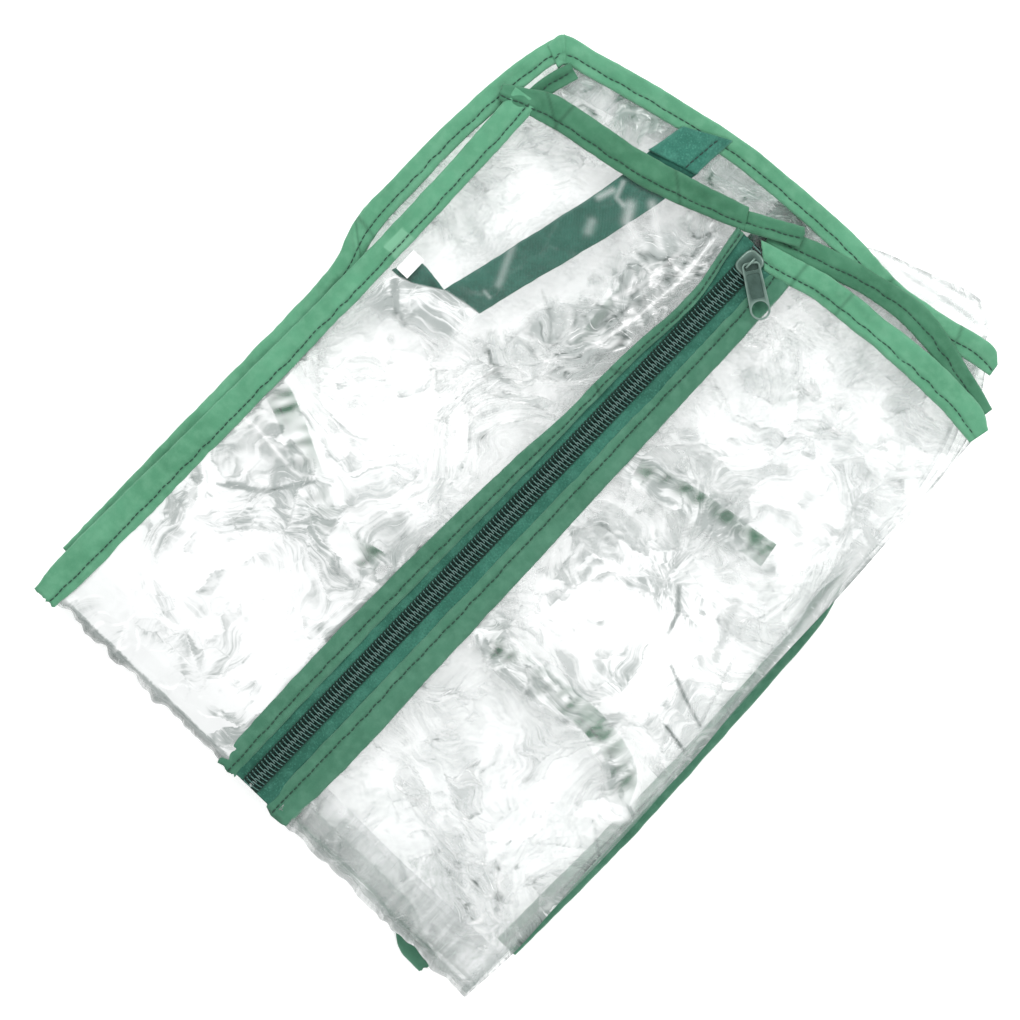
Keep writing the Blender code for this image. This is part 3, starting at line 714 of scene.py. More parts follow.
def label_pane(x, y, looks):
    """A smooth, straight-edged double layer beside the strap, and folds across its foot, drawn with a
    white veil and painted grey shade.
    """
    foot = np.interp(x, [-126, -115, -100.1, -80.8], [24, 27.5, 36.4, 40]) - y
    folded = step(-0.6, 1, foot) * (1 - step(16, 26, foot)) * step(-128, -124, x) * step(-78, -86, x)
    looks["haze"] = np.maximum(looks["haze"], 0.9 * folded)
    looks["tone"] = np.clip(looks["tone"] + 0.14 * folded, 0, 1)
    t = (x + 97) * 0.970 - (y - 50) * 0.243
    along = (x + 97) * 0.243 + (y - 50) * 0.970
    inside = step(-31, -30.2, t) * (1 - step(-1, 0, t)) * step(4, 5, along) * (1 - step(70, 78, along))
    for key in ("tone", "crease", "glint"):
        looks[key] = looks[key] * (1 - 0.85 * inside)
    looks["tone"] = looks["tone"] + 0.20 * inside * (1 - 0.6 * blob(x, y, -104, 92, 12, 22))


def dense_back(x, y):
    """The rear ply: creased behind the roof opening and beside the left seam."""
    return zones(x, y, 0, (0.9, -150, 75, 10, 60), (0.8, -60, 170, 90, 16), (0.9, 50, 187, 60, 12)) + 0.1


def veil_back(x, y):
    return np.clip(0.18 * step(-10, -90, y) + 0.03, 0, 1)


def tones_back(x, y):
    """Heavily creased, with more painted grey shade, in the strip behind the roof opening and at the far
    left.
    """
    roof = step(0, 9, y - np.interp(x, [-140, -73, -14, 46, 90, 138], [136, 148, 168, 186, 190, 178]))
    left = step(-143, -147, x) * step(0, 20, y)
    return np.clip(tones_under(x, y) + 1.1 * roof + 1.0 * left, 0, 1.4)


def tones_under(x, y):
    """Painted grey shade on the lower plies, more towards the top and the lower right."""
    return np.clip(0.10 + 0.38 * step(-40, 90, y) + 0.22 * blob(x, y, 90, -160, 60, 60), 0, 1)


def band_of(points, width):
    """A soft-edged stripe along a line, for a seam seen through the film."""
    line = [tuple(p) for p in spline(points, 14)]

    def stripe(x, y):
        return 1 - step(width * 0.35, width * 0.62, line_distance(x, y, line))

    return stripe


def strap_bed(x, y):
    """Height that the front ply has to clear where the strap lies under it."""
    d = np.abs((x + 90.5) * 0.970 - (y - 40.5) * 0.243)
    return np.where((d < 14) & (y > 22) & (y < 160), 15.9, 0)


CROSS_LOWER = [(27, -68), (46, -74.5), (72, -71.5), (105, -69), (131, -76), (139, -90)]
CROSS_UPPER = [(30, 38.5), (64, 46.5), (108, 53)]
CROSS_LEFT = [(-130, -57.5), (-119, -61), (-88, -76), (-60, -89), (-30, -86)]
cross_low, cross_high = band_of(CROSS_LOWER, 18), band_of(CROSS_UPPER, 18)
cross_side = band_of(CROSS_LEFT, 24)
strap_line = band_of([(-120, 34), (-91, 38), (-62, 152)], 40)
inner_line = band_of([(-32.5, 62), (-35.5, 95), (-36, 128)], 14)


def seen_left(x, y):
    """How clearly the seams under the left panel show through it."""
    patchy = 0.72 + 0.30 * sample(field(401, 9, 2.2, 60), x, y)
    return np.clip(patchy * zones(x, y, 0, (1, -120, -60, 10, 12, -25), (0.62, -99, -69, 14, 14, -30),
        (0.34, -70, -85, 20, 10, -20), (0.9, -32, -85, 11, 12)), 0, 1)


def seen_door(x, y):
    patchy = 0.78 + 0.28 * sample(field(402, 8, 2.4, 80), x, y)
    return np.clip(patchy * zones(x, y, 0, (1, 45, -75, 6, 7), (1, 104, -70, 17, 12, 5),
        (0.42, 74, -71, 20, 12), (0.62, 134, -80, 13, 12, -40), (0.30, 30, -68, 9, 9),
        (0.75, 52, 48, 18, 5, 16), (0.95, 84, 53, 24, 5, 12), (0.85, 104, 50, 9, 9), (0.6, 32, 41, 8,
        7)), 0, 1)


def window_left(x, y):
    return strap_line(x, y) + 0.3 * inner_line(x, y)


def window_back(x, y):
    return window_left(x, y) + cross_low(x, y) + cross_high(x, y) + cross_side(x, y)


def left_panes(x, y, looks):
    label_pane(x, y, looks)
    over = np.clip(cross_side(x, y) + 0.8 * inner_line(x, y), 0, 1)
    seen = np.clip(seen_left(x, y) + 0.45 * blob(x, y, -35, 80, 6, 22), 0, 1)
    cover_traces(over, seen, looks)


def door_panes(x, y, looks):
    side_roll(x, y, looks)
    cover_traces(np.clip(cross_low(x, y) + cross_high(x, y), 0, 1), seen_door(x, y), looks)


def cover_traces(over, seen, looks):
    """White folds hide a seam except where it is seen."""
    looks["haze"] = np.clip(looks["haze"] * (1 - over) + over * (1 - seen), 0, 1)
    for key in ("tone", "crease", "busy"):
        looks[key] = looks[key] * (1 - 0.6 * over * seen)


front_left = film("film_front_left", front_left_edges, 16.6, FILM_TOP, seed=3, heading=62,
                  spacing=0.85, rise=2, dense=dense_left, tones=tones_left, veil=veil_left,
                  window=window_left, marks=MARKS_LEFT, panes=left_panes, low=15.7,
                  floor_of=strap_bed, end_fold=(4.6, 6.8, 22))
door = film("film_door", door_edges, 16.6, FILM_TOP, seed=47, heading=35,
            spacing=0.85, rise=2, dense=dense_door, tones=tones_door, veil=veil_door,
            marks=MARKS_DOOR, panes=door_panes, low=15.7, end_fold=(5, 6.8, 22))
back_top = film("film_back_top", back_edges, 13.2, FILM_BACK, seed=91, heading=20,
                spacing=1.18, amount=0.30, tuck=6, dense=dense_back, tones=tones_back, veil=veil_back,
                window=window_back, glints=0.6, low=12.5, high=14.3, end_fold=(3.2, 9.7, 18))

for piece, nodes, start, end in ((front_left, ["front_left_panel"], 8, 12.4),
                                 (door, ["door_panel"], 8, 12.4),
                                 (back_top, ["back_panel_top"], 10.3, 12.4)):
    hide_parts(*nodes)
    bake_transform(piece)

# Middle leaf: two plies, the upper one reaching further at the far end
UNDER_TOP = [(-138, 163), (-103, 172.5), (-47, 185.5), (0, 190), (28, 190.5), (62, 188.5), (118, 197.5)]
MID_LEFT = [(-141, FOLD_Y + 2), (-139, 0), (-138, 163)]
MID_RIGHT = [(151, FOLD_Y + 2), (152.5, -115), (149.5, -30), (146, 60), (139, 150), (118, 197.5)]
middle_low = film("film_middle_front", ([(-141, FOLD_Y + 2), (151, FOLD_Y + 2)], MID_RIGHT,
                  UNDER_TOP, MID_LEFT), 6.8, FILM_UNDER, seed=133,
                  heading=-30, spacing=2.4, amount=0.40, tuck=6, low=5.6, high=8.2,
                  dense=lambda x, y: 0.1 + 0 * x, glints=0.4, tones=tones_under, veil=veil_back)
MID_UP_RIGHT = [(151.5, FOLD_Y + 2), (153.5, -115), (150.5, -30), (147, 60), (142, 150), (112, 206)]
MID_UP_TOP = [(-138, 163), (-103, 172.5), (-47, 185.5), (0, 190), (26, 191), (40, 201), (64, 210),
              (96, 219.5), (108, 214), (112, 206)]
middle_up = film("film_middle_back", ([(-141, FOLD_Y + 2), (151.5, FOLD_Y + 2)], MID_UP_RIGHT,
                 MID_UP_TOP, [(-141, FOLD_Y + 2), (-140, 0), (-138, 163)]), 9.6, FILM_UNDER,
                 seed=177, heading=10, spacing=1.4, amount=0.35, tuck=5, low=8.7, high=10.9,
                 dense=lambda x, y: 0.1 + 0.5 * blob(x, y, 85, 210, 50, 14),
                 # Painted shade and painted highlight along the clear corner's edges.
                 marks=(([(36, 200), (64, 209), (96, 218.2), (107, 213), (111, 206)], 1.3,
                         {"tone": 1, "crease": 0.55}),
                        ([(60, 205), (94, 213), (104, 207)], 3, {"tone": 0.6}),
                        ([(38, 196), (80, 207), (108, 211)], 1.1, {"crease": 0.5, "tone": 0.7}),
                        ([(46, 199), (78, 203)], 2.4, {"glint": 0.8, "tone": 0.4})),
                 glints=0.4, tones=tones_under, veil=veil_back)

# Bottom leaf. The far edges stop short of the fold axis, and each sheet is carried round a fold at its
# far end to a higher level.
BOT_RIGHT = [(152, FOLD_Y + 1), (150, -110), (146.5, 0), (139, 140), (118, 197.5)]
BOT_LEFT = [(-144, FOLD_Y + 1), (-143, 0), (-138, 163)]
bottom_up = film("film_bottom_front", ([(-143, -203), (150, -203)],
                 [(150, -203), (149, -110), (144, 0), (137, 140), (118, 197.5)],
                 UNDER_TOP, [(-143, -203), (-141, 0), (-138, 163)]), 4, FILM_UNDER,
                 seed=211, heading=70, spacing=2.6, amount=0.35, tuck=6, low=3, high=5.1,
                 dense=lambda x, y: 0.1 + 0 * x, glints=0.3, tones=tones_under, veil=veil_back,
                 top_fold=(2.4, 6.7, 14))
bottom_low = film("film_bottom_back", ([(-144, FOLD_Y + 1), (152, FOLD_Y + 1)], BOT_RIGHT,
                  UNDER_TOP, BOT_LEFT), 0.9, FILM_UNDER, seed=251,
                  heading=-60, spacing=2.4, amount=0.35, tuck=6, low=0.15, high=2.2,
                  dense=lambda x, y: 0.1 + 0 * x, glints=0.3, tones=tones_under, veil=veil_back,
                  top_fold=(4.4, 9.2, 14))

for piece, nodes in ((middle_low, ["front_left_panel_middle", "door_panel_middle"]),
                     (middle_up, ["back_panel_middle"])):
    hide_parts(*nodes)
    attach(piece, "middle_leaf")
for piece, nodes, start, end in ((bottom_up, ["front_left_panel_foot", "door_panel_foot"], 5.85, 5.87),
                                 (bottom_low, ["back_panel_foot"], 5.60, 5.62)):
    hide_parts(*nodes)
    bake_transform(piece)


# ---------------------------------------------------------------- ribbons
def capsule_run(verts, faces, slots, path, normals, stitch=2.7, gap=0.75, radius=0.31, slot=1, seed=5):
    """Adds a row of sewn stitches along a path to a mesh's lists."""
    rng = np.random.default_rng(seed)
    run = np.concatenate([[0], np.cumsum(np.linalg.norm(np.diff(path, axis=0), axis=1))])
    s = 0.5
    while s + stitch < run[-1]:
        length = stitch * (0.92 + 0.16 * rng.random())
        stations = 5
        at = np.linspace(s, min(s + length, run[-1]), stations)
        core = np.stack([np.interp(at, run, path[:, k]) for k in range(3)], 1)
        up = np.stack([np.interp(at, run, normals[:, k]) for k in range(3)], 1)
        fwd = core[-1] - core[0]
        fwd /= np.linalg.norm(fwd) + 1e-9
        side = np.cross(up[0], fwd)
        base = len(verts)
        for k in range(stations):
            t = k / (stations - 1)
            fat = radius * math.sqrt(max(0.12, 1 - (2 * t - 1) ** 4))
            dip = -0.22 * (2 * t - 1) ** 4
            for a in range(6):
                c, sn = math.cos(a * math.pi / 3), math.sin(a * math.pi / 3)
                verts.append(core[k] + side * fat * c + up[0] * (fat * sn + dip))
        for k in range(stations - 1):
            for a in range(6):
                b = (a + 1) % 6
                faces.append((base + k * 6 + a, base + k * 6 + b, base + (k + 1) * 6 + b,
                              base + (k + 1) * 6 + a))
                slots.append(slot)
        faces.append(tuple(base + a for a in range(5, -1, -1)))
        faces.append(tuple(base + (stations - 1) * 6 + a for a in range(6)))
        slots += [slot, slot]
        s += stitch + gap


def ribbon(name, outer, inner, top, body, replaces=(), thick=1.5, material=BIAS, slot="bias_binding",
           lines=((0.30, 2.7),), seed=1, wave=0.30, crown=0.35, creases=(), shade=None, thread=THREAD,
           ends=(0, 0), wobble=0.5, stitch_gap=0.5, bright=None):
    """A folded, stitched ribbon between two edges. top is its height, or heights.

    lines are (place, stitch length): the place is the share of the width from the
    inner edge. creases are (place along, depth, slant) tucks across the ribbon.
    """
    length = np.linalg.norm(np.diff(np.asarray(outer, float)[:, :2], axis=0), axis=1).sum()
    rows = max(8, int(length / (1.0)))
    o, i = spline(outer, rows), spline(inner, rows)
    cols = 17
    c = np.linspace(0, 1, cols)
    tops = np.asarray(top, float)
    if tops.ndim == 0:
        z0 = np.full(rows, float(tops))
    else:
        at = np.linspace(0, 1, len(tops))
        z0 = np.interp(np.linspace(0, 1, rows), at, tops)
        z0 = np.convolve(np.pad(z0, 6, mode="edge"), np.ones(13) / 13, mode="valid")
    mid = (o[:, :2] + i[:, :2]) / 2
    s = np.concatenate([[0], np.cumsum(np.linalg.norm(np.diff(mid, axis=0), axis=1))])
    width = np.linalg.norm(o[:, :2] - i[:, :2], axis=1)
    S, C = np.meshgrid(s, c, indexing="ij")
    W = width[:, None] * np.ones(cols)[None]
    xy = i[:, None, :2] * (1 - C[..., None]) + o[:, None, :2] * C[..., None]
    across = (o[:, :2] - i[:, :2]) / np.maximum(width[:, None], 1e-6)
    wob = (0.35 * sample(field(seed + 301, 22), S, C * 0 + 3)
           + 0.18 * sample(field(seed + 302, 7), S, 9 + 0 * C))
    xy = xy + across[:, None] * (wob * (2 * C - 1))[..., None] * 0.6 * wobble
    lift = crown * (1 - np.abs(2 * C - 1) ** 2.6)
    lift = lift + wave * sample(field(seed + 303, 34), S, 40 * C) + 0.4 * wave * sample(
        field(seed + 304, 11), S, 16 * C)
    for place, stitch in lines:
        d = (C - place) * W
        lift = lift - 0.34 * np.exp(-(d / 0.75) ** 2)
        pucker = np.sin(2 * math.pi * S / (stitch + stitch_gap) + 1.4 * np.sin(S / 17))
        lift = lift + 0.10 * pucker * np.exp(-((np.abs(d) - 1.3) / 1.2) ** 2)
    tuck = np.zeros_like(S)
    for where, depth, slant in creases:
        q = S - where - slant * (C - 0.5) * W
        lift = lift + depth * np.exp(-(q / 2.2) ** 2) - 0.7 * depth * np.exp(-((q - 2.6) / 1) ** 2)
        tuck = tuck + np.exp(-((q - 2.6) / 0.9) ** 2)
    edge_drop = 0.55 * thick * (np.exp(-C * W / 0.45) + np.exp(-(1 - C) * W / 0.45))
    z = z0[:, None] + lift - edge_drop
    base = (z0 - thick)[:, None] + 0.12 * wave * sample(field(seed + 305, 30), S, 8 * C)
    base = np.minimum(base, z - 0.15)
    if ends[0] or ends[1]:
        fwd = np.gradient(mid, axis=0)
        fwd /= np.linalg.norm(fwd, axis=1)[:, None]
        jag = 0.5 * sample(field(seed + 306, 5), 30 * c, 0 * c)
        xy[0] += -fwd[0] * (ends[0] * np.abs(jag))[:, None]
        xy[-1] += fwd[-1] * (ends[1] * np.abs(jag))[:, None]
    ring = 2 * cols
    verts = np.zeros((rows, ring, 3))
    verts[:, :cols, :2], verts[:, :cols, 2] = xy, z
    verts[:, cols:, :2], verts[:, cols:, 2] = xy[:, ::-1], base[:, ::-1]
    flat = list(verts.reshape(-1, 3))
    faces = grid_faces(rows, ring, wrap=True)
    faces.append(tuple(range(ring - 1, -1, -1)))
    faces.append(tuple((rows - 1) * ring + k for k in range(ring)))
    slots = [0] * len(faces)
    body_count = len(flat)
    for k, (place, stitch) in enumerate(lines):
        col = place * (cols - 1)
        a, f = int(math.floor(col)), col - math.floor(col)
        b = min(a + 1, cols - 1)
        path = np.concatenate([xy[:, a] * (1 - f) + xy[:, b] * f,
                               (z[:, a] * (1 - f) + z[:, b] * f)[:, None]], axis=1)
        path[:, 0] += across[:, 0] * 0.22 * sample(field(seed + 307, 13), s, 0 * s)
        path[:, 1] += across[:, 1] * 0.22 * sample(field(seed + 307, 13), s, 0 * s)
        path[:, 2] += 0.16
        normals = np.tile([0, 0, 1], (rows, 1))
        capsule_run(flat, faces, slots, path, normals, stitch=stitch, gap=stitch_gap, seed=seed + k)
    obj = new_object(name, flat, faces, [material, thread], slots)
    extra = len(flat) - body_count
    full = {
        "along": np.concatenate([S, S[:, ::-1]], 1), "across": np.concatenate([C * W, (C * W)[:, ::-1]],
        1),
        # edge: lighter along both long edges, partly wear and partly painted highlight; shade: painted
        # shade in tucks, along stitch lines and underneath.
        "edge": np.concatenate([np.exp(-C * W / 0.7) + 0.6 * np.exp(-(1 - C) * W / 0.6),
                                0 * C], 1),
        "shade": np.concatenate([np.clip(tuck * 0.7 + sum(
            (0.5 * np.exp(-((C - p) * W / 0.8) ** 2) for p, _ in lines), 0 * C), 0, 1),
            0.4 + 0 * C], 1),
    }
    if shade is not None:
        top_shade = np.clip(full["shade"][:, :cols] + shade(xy[..., 0], xy[..., 1]), 0, 1)
        full["shade"] = np.concatenate([top_shade, full["shade"][:, cols:]], 1)
    if bright is not None:
        full["edge"][:, :cols] += bright(xy[..., 0], xy[..., 1])
    for key, grid in full.items():
        point_attribute(obj, key, np.concatenate([grid.ravel(), np.zeros(extra)]))
    if replaces:
        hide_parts(*replaces)
    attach(obj, body)
    return obj


def offset_edges(path, width):
    """Both edges of a band along a centre line."""
    p = spline(path, 40)
    t = np.gradient(p[:, :2], axis=0)
    t /= np.linalg.norm(t, axis=1)[:, None]
    nrm = np.stack([-t[:, 1], t[:, 0]], 1)
    return p[:, :2] + nrm * width / 2, p[:, :2] - nrm * width / 2


def light_patch(x, y):
    """A brighter square on the seam where the label's tab lies under it."""
    return 2.2 * step(-138.6, -137.8, x) * step(30.4, 31.2, y) * step(44.6, 43.8, y) - 0.15


FL = "front_leaf"


def binding(name, outer, inner, top, body=FL, **looks):
    ribbon(name, outer, inner, top, body, [name + "_binding"], **looks)


# Left side: the seam on top and the rear seam that shows beyond it
binding("left_seam", [(-146, -212.5), (-147.6, -191.6), (-145.2, -110), (-143.4, -42.1), (-142.5, 30),
                     (-143.5, 90), (-145.5, 134)],
       [(-132.2, -212), (-130.4, -190), (-129.6, -110), (-129.2, -38.9), (-129.3, 40), (-130, 90),
        (-131, 136)],
       [17.4, 17.8, 17.8, 17.8, 17.6], seed=21, lines=((0.27, 2.7),), crown=0.5,
       material=BIAS_LIT, ends=(2, 0), bright=light_patch)
binding("rear_left_seam", [(-150.1, -189.1), (-150.2, -100), (-150, -3.1), (-151.5, 10), (-158.2, 31.5),
                          (-158.8, 60), (-158.4, 100.4), (-154.8, 140), (-150, 163), (-146.5, 171)],
       [(-137.5, -189.5), (-137.5, -100), (-137.8, -3.1), (-139.5, 12), (-145.5, 33), (-146.5, 62),
        (-146.3, 100), (-142.8, 138), (-139.5, 157), (-136, 160.5)],
       14.4, seed=22, material=BIAS_LIT, lines=((0.36, 2.9),), crown=0.5, wave=0.4,
       creases=((212, 0.5, 0.5), (220, -0.4, -0.3)))
binding("roof_rear", [(-149, 160.5), (-147.6, 169.5), (-128, 175.5), (-105, 181.6), (-75, 188.3),
                     (-44.9, 194.1), (-8, 197.2), (29.8, 198.6), (61.2, 196.8), (90, 201),
                     (118, 206.2), (124.5, 201.5)],
       [(-137, 156), (-136.5, 159.5), (-124, 163.4), (-98.1, 169.8), (-70, 176.5), (-44, 181.8),
        (-8, 184.8), (29.8, 185.8), (61.2, 184), (88, 187.2), (116, 193), (125.5, 194.4)],
       14.4, seed=23, material=BIAS_LIT, lines=((0.36, 2.9),), crown=0.25, wave=0.22,
       creases=((205, 0.45, 0.4), (250, -0.4, -0.3)))
binding("roof_left", *offset_edges([(-136.5, 133), (-134.5, 147), (-130.5, 160.5)], 9), 15.4, thick=0.9,
       seed=24, lines=((0.5, 2.7),), crown=0.2)
binding("roof_front", [(-4, 176), (5.3, 178.6), (25, 185.5), (46.6, 191.1), (73.2, 196.4), (91.2, 195.4),
                      (115, 189.5), (138, 183.1)],
       [(-2, 164), (7.6, 165.9), (26, 171.2), (44.6, 178), (72.2, 182.6), (90, 182),
        (112, 178.5), (136, 172.5)],
       [15.6, 15.6, 15.7, 15.8, 15.8, 15.6, 15.3], thick=1.1, seed=25,
       lines=((0.42, 2.8),), wave=0.3)
binding("door_top", [(-4.5, 164), (12, 168.4), (33.5, 174.4), (67.7, 178.1), (106.3, 181), (134.8, 179),
                    (143.5, 174)],
       [(7.4, 153.6), (19.3, 156.6), (33, 160.2), (52.9, 162.4), (92.3, 165), (125, 164.6), (141, 162.6)],
       [17.6, 17.9, 18.1, 18.1, 18, 17.7], seed=26, lines=((0.30, 2.8),),
       material=BIAS_LIT, wave=0.35, creases=((18, 0.5, 0.6), (45, -0.3, 0.4)))
binding("roof_tab", [(-18.6, 169.8), (-6, 176.4), (6.8, 183.2)],
        [(-14.2, 160.4), (-1, 167.2), (11.6, 174)],
        [18.9, 19.2, 18.6], thick=1, seed=27, lines=((0.42, 2.7),), wave=0.2, ends=(0, 1.2))
binding("front_top", [(-151, 131.5), (-140, 138.5), (-125.9, 146), (-103, 150.2), (-79, 154.4),
                     (-50, 162), (-20, 171.2)],
       [(-147, 124), (-136, 127.4), (-122, 131), (-98, 135.8), (-66.9, 141.7), (-42, 149.6),
        (-14, 160.6)],
       [17.2, 18.2, 18.3, 18.3, 18.4, 18.9, 19.6], seed=28, lines=((0.28, 2.8),),
       wave=0.35, crown=0.5, ends=(1.5, 0.8),
       creases=((24, 0.45, -0.7), (31, -0.35, 0.4), (98, 0.35, -0.5)))

# Zip bindings; the left one tips on its edge above the middle
binding("zip_left", [(-20.4, -211.5), (-21, -190), (-21.8, -129.6), (-20.6, -66), (-17.6, 2.9),
                    (-15.2, 29.4), (-14.8, 60), (-13.6, 85.6), (-11.6, 106.1), (-11.8, 127.5),
                    (-15, 146), (-17.5, 160)],
       [(-8.6, -211), (-9.2, -190), (-9.6, -128.2), (-9.2, -60), (-8.6, 0), (-8.6, 40), (-8.4, 62),
        (-8, 80.4), (-6, 108), (-6.6, 126), (-10.2, 144), (-12.4, 160)],
       [16.4, 18, 18.1, 18.2, 18.4, 18.8, 19.3, 19.4, 18.8, 18.6], seed=29,
       material=BIAS_DEEP, lines=((0.36, 2.7),), crown=0.45, ends=(1.6, 0), wobble=0.4,
       creases=((262, 0.35, 0.5), (275, -0.3, -0.4)))
binding("zip_right", [(27, -211.5), (27.8, -200), (28.5, -150), (27.4, -113), (26.6, -60), (25.4, 0),
                     (24.2, 60), (23.4, 110), (22.4, 148), (21.8, 159)],
       [(12.4, -210), (12, -200), (11.8, -150), (11.6, -100), (11.4, -47.3), (11, 20),
        (10.8, 80), (10.4, 120), (9.8, 146), (9.2, 158)],
       [16.4, 18, 18.1, 18.1, 18.1, 18.1, 18, 17.9, 17.7, 16.6], seed=31, material=BIAS_DEEP,
       lines=((0.34, 2.7),), crown=0.45, ends=(3.2, 0), wobble=0.4)

# Bindings that show beside or through the film
binding("rear_right_seam", [(142.5, 77), (146.5, 66), (151.4, 49.9), (154, 12.5), (156, -40),
                           (157.4, -105.5), (156, -181)],
       [(139.8, 60), (140.5, 50), (143, 40), (144, 8), (145.6, -40), (145.2, -105), (143.5, -181)],
       [4.8, 4.9, 4.9, 4.9], "bottom_leaf", thick=1.8, seed=33,
       material=BIAS_DEEP, lines=((0.4, 2.8),))
binding("hem", [(-140, -208.6), (40, -208.6), (96, -210), (111.3, -219.1), (126, -220.4)],
       [(-140, -198.1), (40, -198.1), (104, -199.4), (116, -206), (128, -209)],
       4.8, "bottom_leaf", thick=1.8, seed=34, material=BIAS_DEEP, lines=((0.35, 2.8),),
       ends=(0, 1.5))
for side, line, seed in (("upper", CROSS_UPPER, 35), ("lower", CROSS_LOWER, 36),
                         ("left", CROSS_LEFT, 37)):
    ribbon("cross_" + side, *offset_edges(line, 13), 12.2, "middle_leaf", ["cross_binding_" + side],
           thick=0.9, seed=seed, lines=((0.3, 2.8),), crown=0.2)
binding("inner_seam", *offset_edges([(-32.5, 62), (-35.5, 95), (-36, 128)], 8), 15.4, thick=0.8,
       seed=38, lines=((0.4, 2.8),), crown=0.15)


# ---------------------------------------------------------------- tie strap and label
def strap(name, left, right, top, body, node, thick=0.9, seed=60, lines=(), wave=0.2,
          material=WEBBING_SHADED):
    ribbon(name, left, right, top, body, [node], thick=thick, material=material, slot="webbing",
           lines=lines, seed=seed, wave=wave, crown=0.08, thread=THREAD_BLACK)


strap("tie_strap_run", [(-102, 34.5), (-77.8, 134.8), (-75.2, 158.6)],
      [(-80.6, 40), (-54.8, 138), (-50.2, 166.2)], [15.3, 15.3, 15.3], FL, "tie_strap", seed=61)
strap("tie_strap_root_piece", [(-122.5, 38.6), (-114.5, 38.2), (-101.8, 36.4)],
      [(-127.5, 25.2), (-115.5, 26), (-98.5, 30.8)], 15.3, FL, "tie_strap_root", seed=62)
strap("tie_strap_free_end", [(-76.2, 157.6), (-74, 168), (-72, 178)],
      [(-50.2, 165.2), (-49.6, 178), (-48.8, 190)], [16.4, 16.2, 15.9], "strap_end", "tie_strap_end",
      thick=1.6, material=WEBBING, seed=63, lines=((0.24, 2.6),), wave=0.15)


# ---------------------------------------------------------------- zip
def shade_under_chain(x, y):
    """Painted shade: the tape looks black under the coil, between its turns."""
    return 1.6 * (1 - step(4.3, 5.4, np.abs(x)))


def tape(name, outer, inner, top, body, nodes, seed):
    return ribbon(name, outer, inner, top, body, nodes, thick=0.55, material=TAPE, slot="zip_tape",
                  lines=(), seed=seed, wave=0.06, crown=0.05, thread=THREAD_BLACK, shade=shade_under_chain,
                  wobble=0.15)


tape("zip_tape_left_piece", [(-13, -210.5), (-13, 0), (-11, 85), (-9, 130), (-13, 160)],
     [(-0.7, -210.5), (-0.7, 0), (-0.7, 85), (-0.7, 148), (-5.5, 160)], [16.2, 17.2, 17.2, 17.2], FL,
     ["zip_tape_left"], 71)
tape("zip_tape_right_piece", [(13.6, -210.5), (13.4, 0), (12.5, 120), (11, 155)],
     [(0.7, -210.5), (0.7, 0), (0.7, 148), (0.7, 156)], [16.2, 17.2, 17.2, 17], FL,
     ["zip_tape_right"], 72)
for leaf, z, low in (("middle", 7.5, -205), ("foot", 3.4, -199.5)):
    tape("zip_tapes_%s_piece" % leaf, [(-10.4, low), (-10.4, 186)], [(10.4, low), (10.4, 186)], z,
         "middle_leaf" if leaf == "middle" else "bottom_leaf", ["zip_tapes_" + leaf], 73)


def chain_x(y):
    """The chain's centre line veers left above the slider."""
    return 0.25 * np.sin(y / 41) - 7.0 * step(156, 172, y)


def coil(name, side, y0, y1, body, node, z_mid=18.15, sag=True, reach=2.75, centre=1.75):
    """A flattened nylon coil whose turns reach past the centre line."""
    per, sides, wire, pitch = (14), 6, 0.31, 2.17
    turns = int((y1 - y0) / pitch)
    t = np.arange(turns * per + 1) / per
    phase = 2 * math.pi * t
    cosine, sine = np.cos(phase), np.sin(phase)
    flat = np.sign(cosine) * np.abs(cosine) ** 0.62
    y = y0 + pitch * t + (pitch / 2 if side > 0 else 0)
    lead = 0.9 * flat * pitch / 4
    x = chain_x(y) + side * (centre - reach * flat)
    z = z_mid + 0.52 * np.sign(sine) * np.abs(sine) ** 0.6
    if sag:
        z = z - 2.2 * step(-202, -211, y)
    path = np.stack([x, y - side * lead * 0.35, z], 1)
    tangent = np.gradient(path, axis=0)
    tangent /= np.linalg.norm(tangent, axis=1)[:, None]
    ref = np.tile([0, 1, 0], (len(path), 1))
    a = np.cross(tangent, ref)
    a /= np.linalg.norm(a, axis=1)[:, None]
    b = np.cross(tangent, a)
    ang = np.arange(sides) * 2 * math.pi / sides
    verts = (path[:, None] + wire * (a[:, None] * np.cos(ang)[None, :, None]
                                     + b[:, None] * np.sin(ang)[None, :, None])).reshape(-1, 3)
    faces = grid_faces(len(path), sides, wrap=True)
    faces.append(tuple(range(sides - 1, -1, -1)))
    faces.append(tuple((len(path) - 1) * sides + k for k in range(sides)))
    obj = new_object(name, verts, faces, [COIL])
    # Painted highlight near the chain's centre line, and painted shade where the wire dives below its
    # middle height.
    near = np.exp(-((x - chain_x(y)) / 1.1) ** 2)
    point_attribute(obj, "centre", np.repeat(near, sides))
    point_attribute(obj, "depth", np.repeat(step(0.36, -0.1, z - z_mid + (0 if not sag else 2.2 * step(
        -202, -211, y))), sides))
    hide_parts(node)
    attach(obj, body)


coil("zip_coil_left_piece", -1, -210.6, 161, FL, "zip_coil_left")
coil("zip_coil_right_piece", 1, -210.6, 158, FL, "zip_coil_right")
coil("zip_chain_middle_piece", 1, -204, 186, "middle_leaf", "zip_chain_middle", z_mid=6.05, sag=False,
     reach=4.3, centre=0)
coil("zip_chain_foot_piece", 1, -199, 186, "bottom_leaf", "zip_chain_foot", z_mid=4.35, sag=False,
     reach=4.3, centre=0)


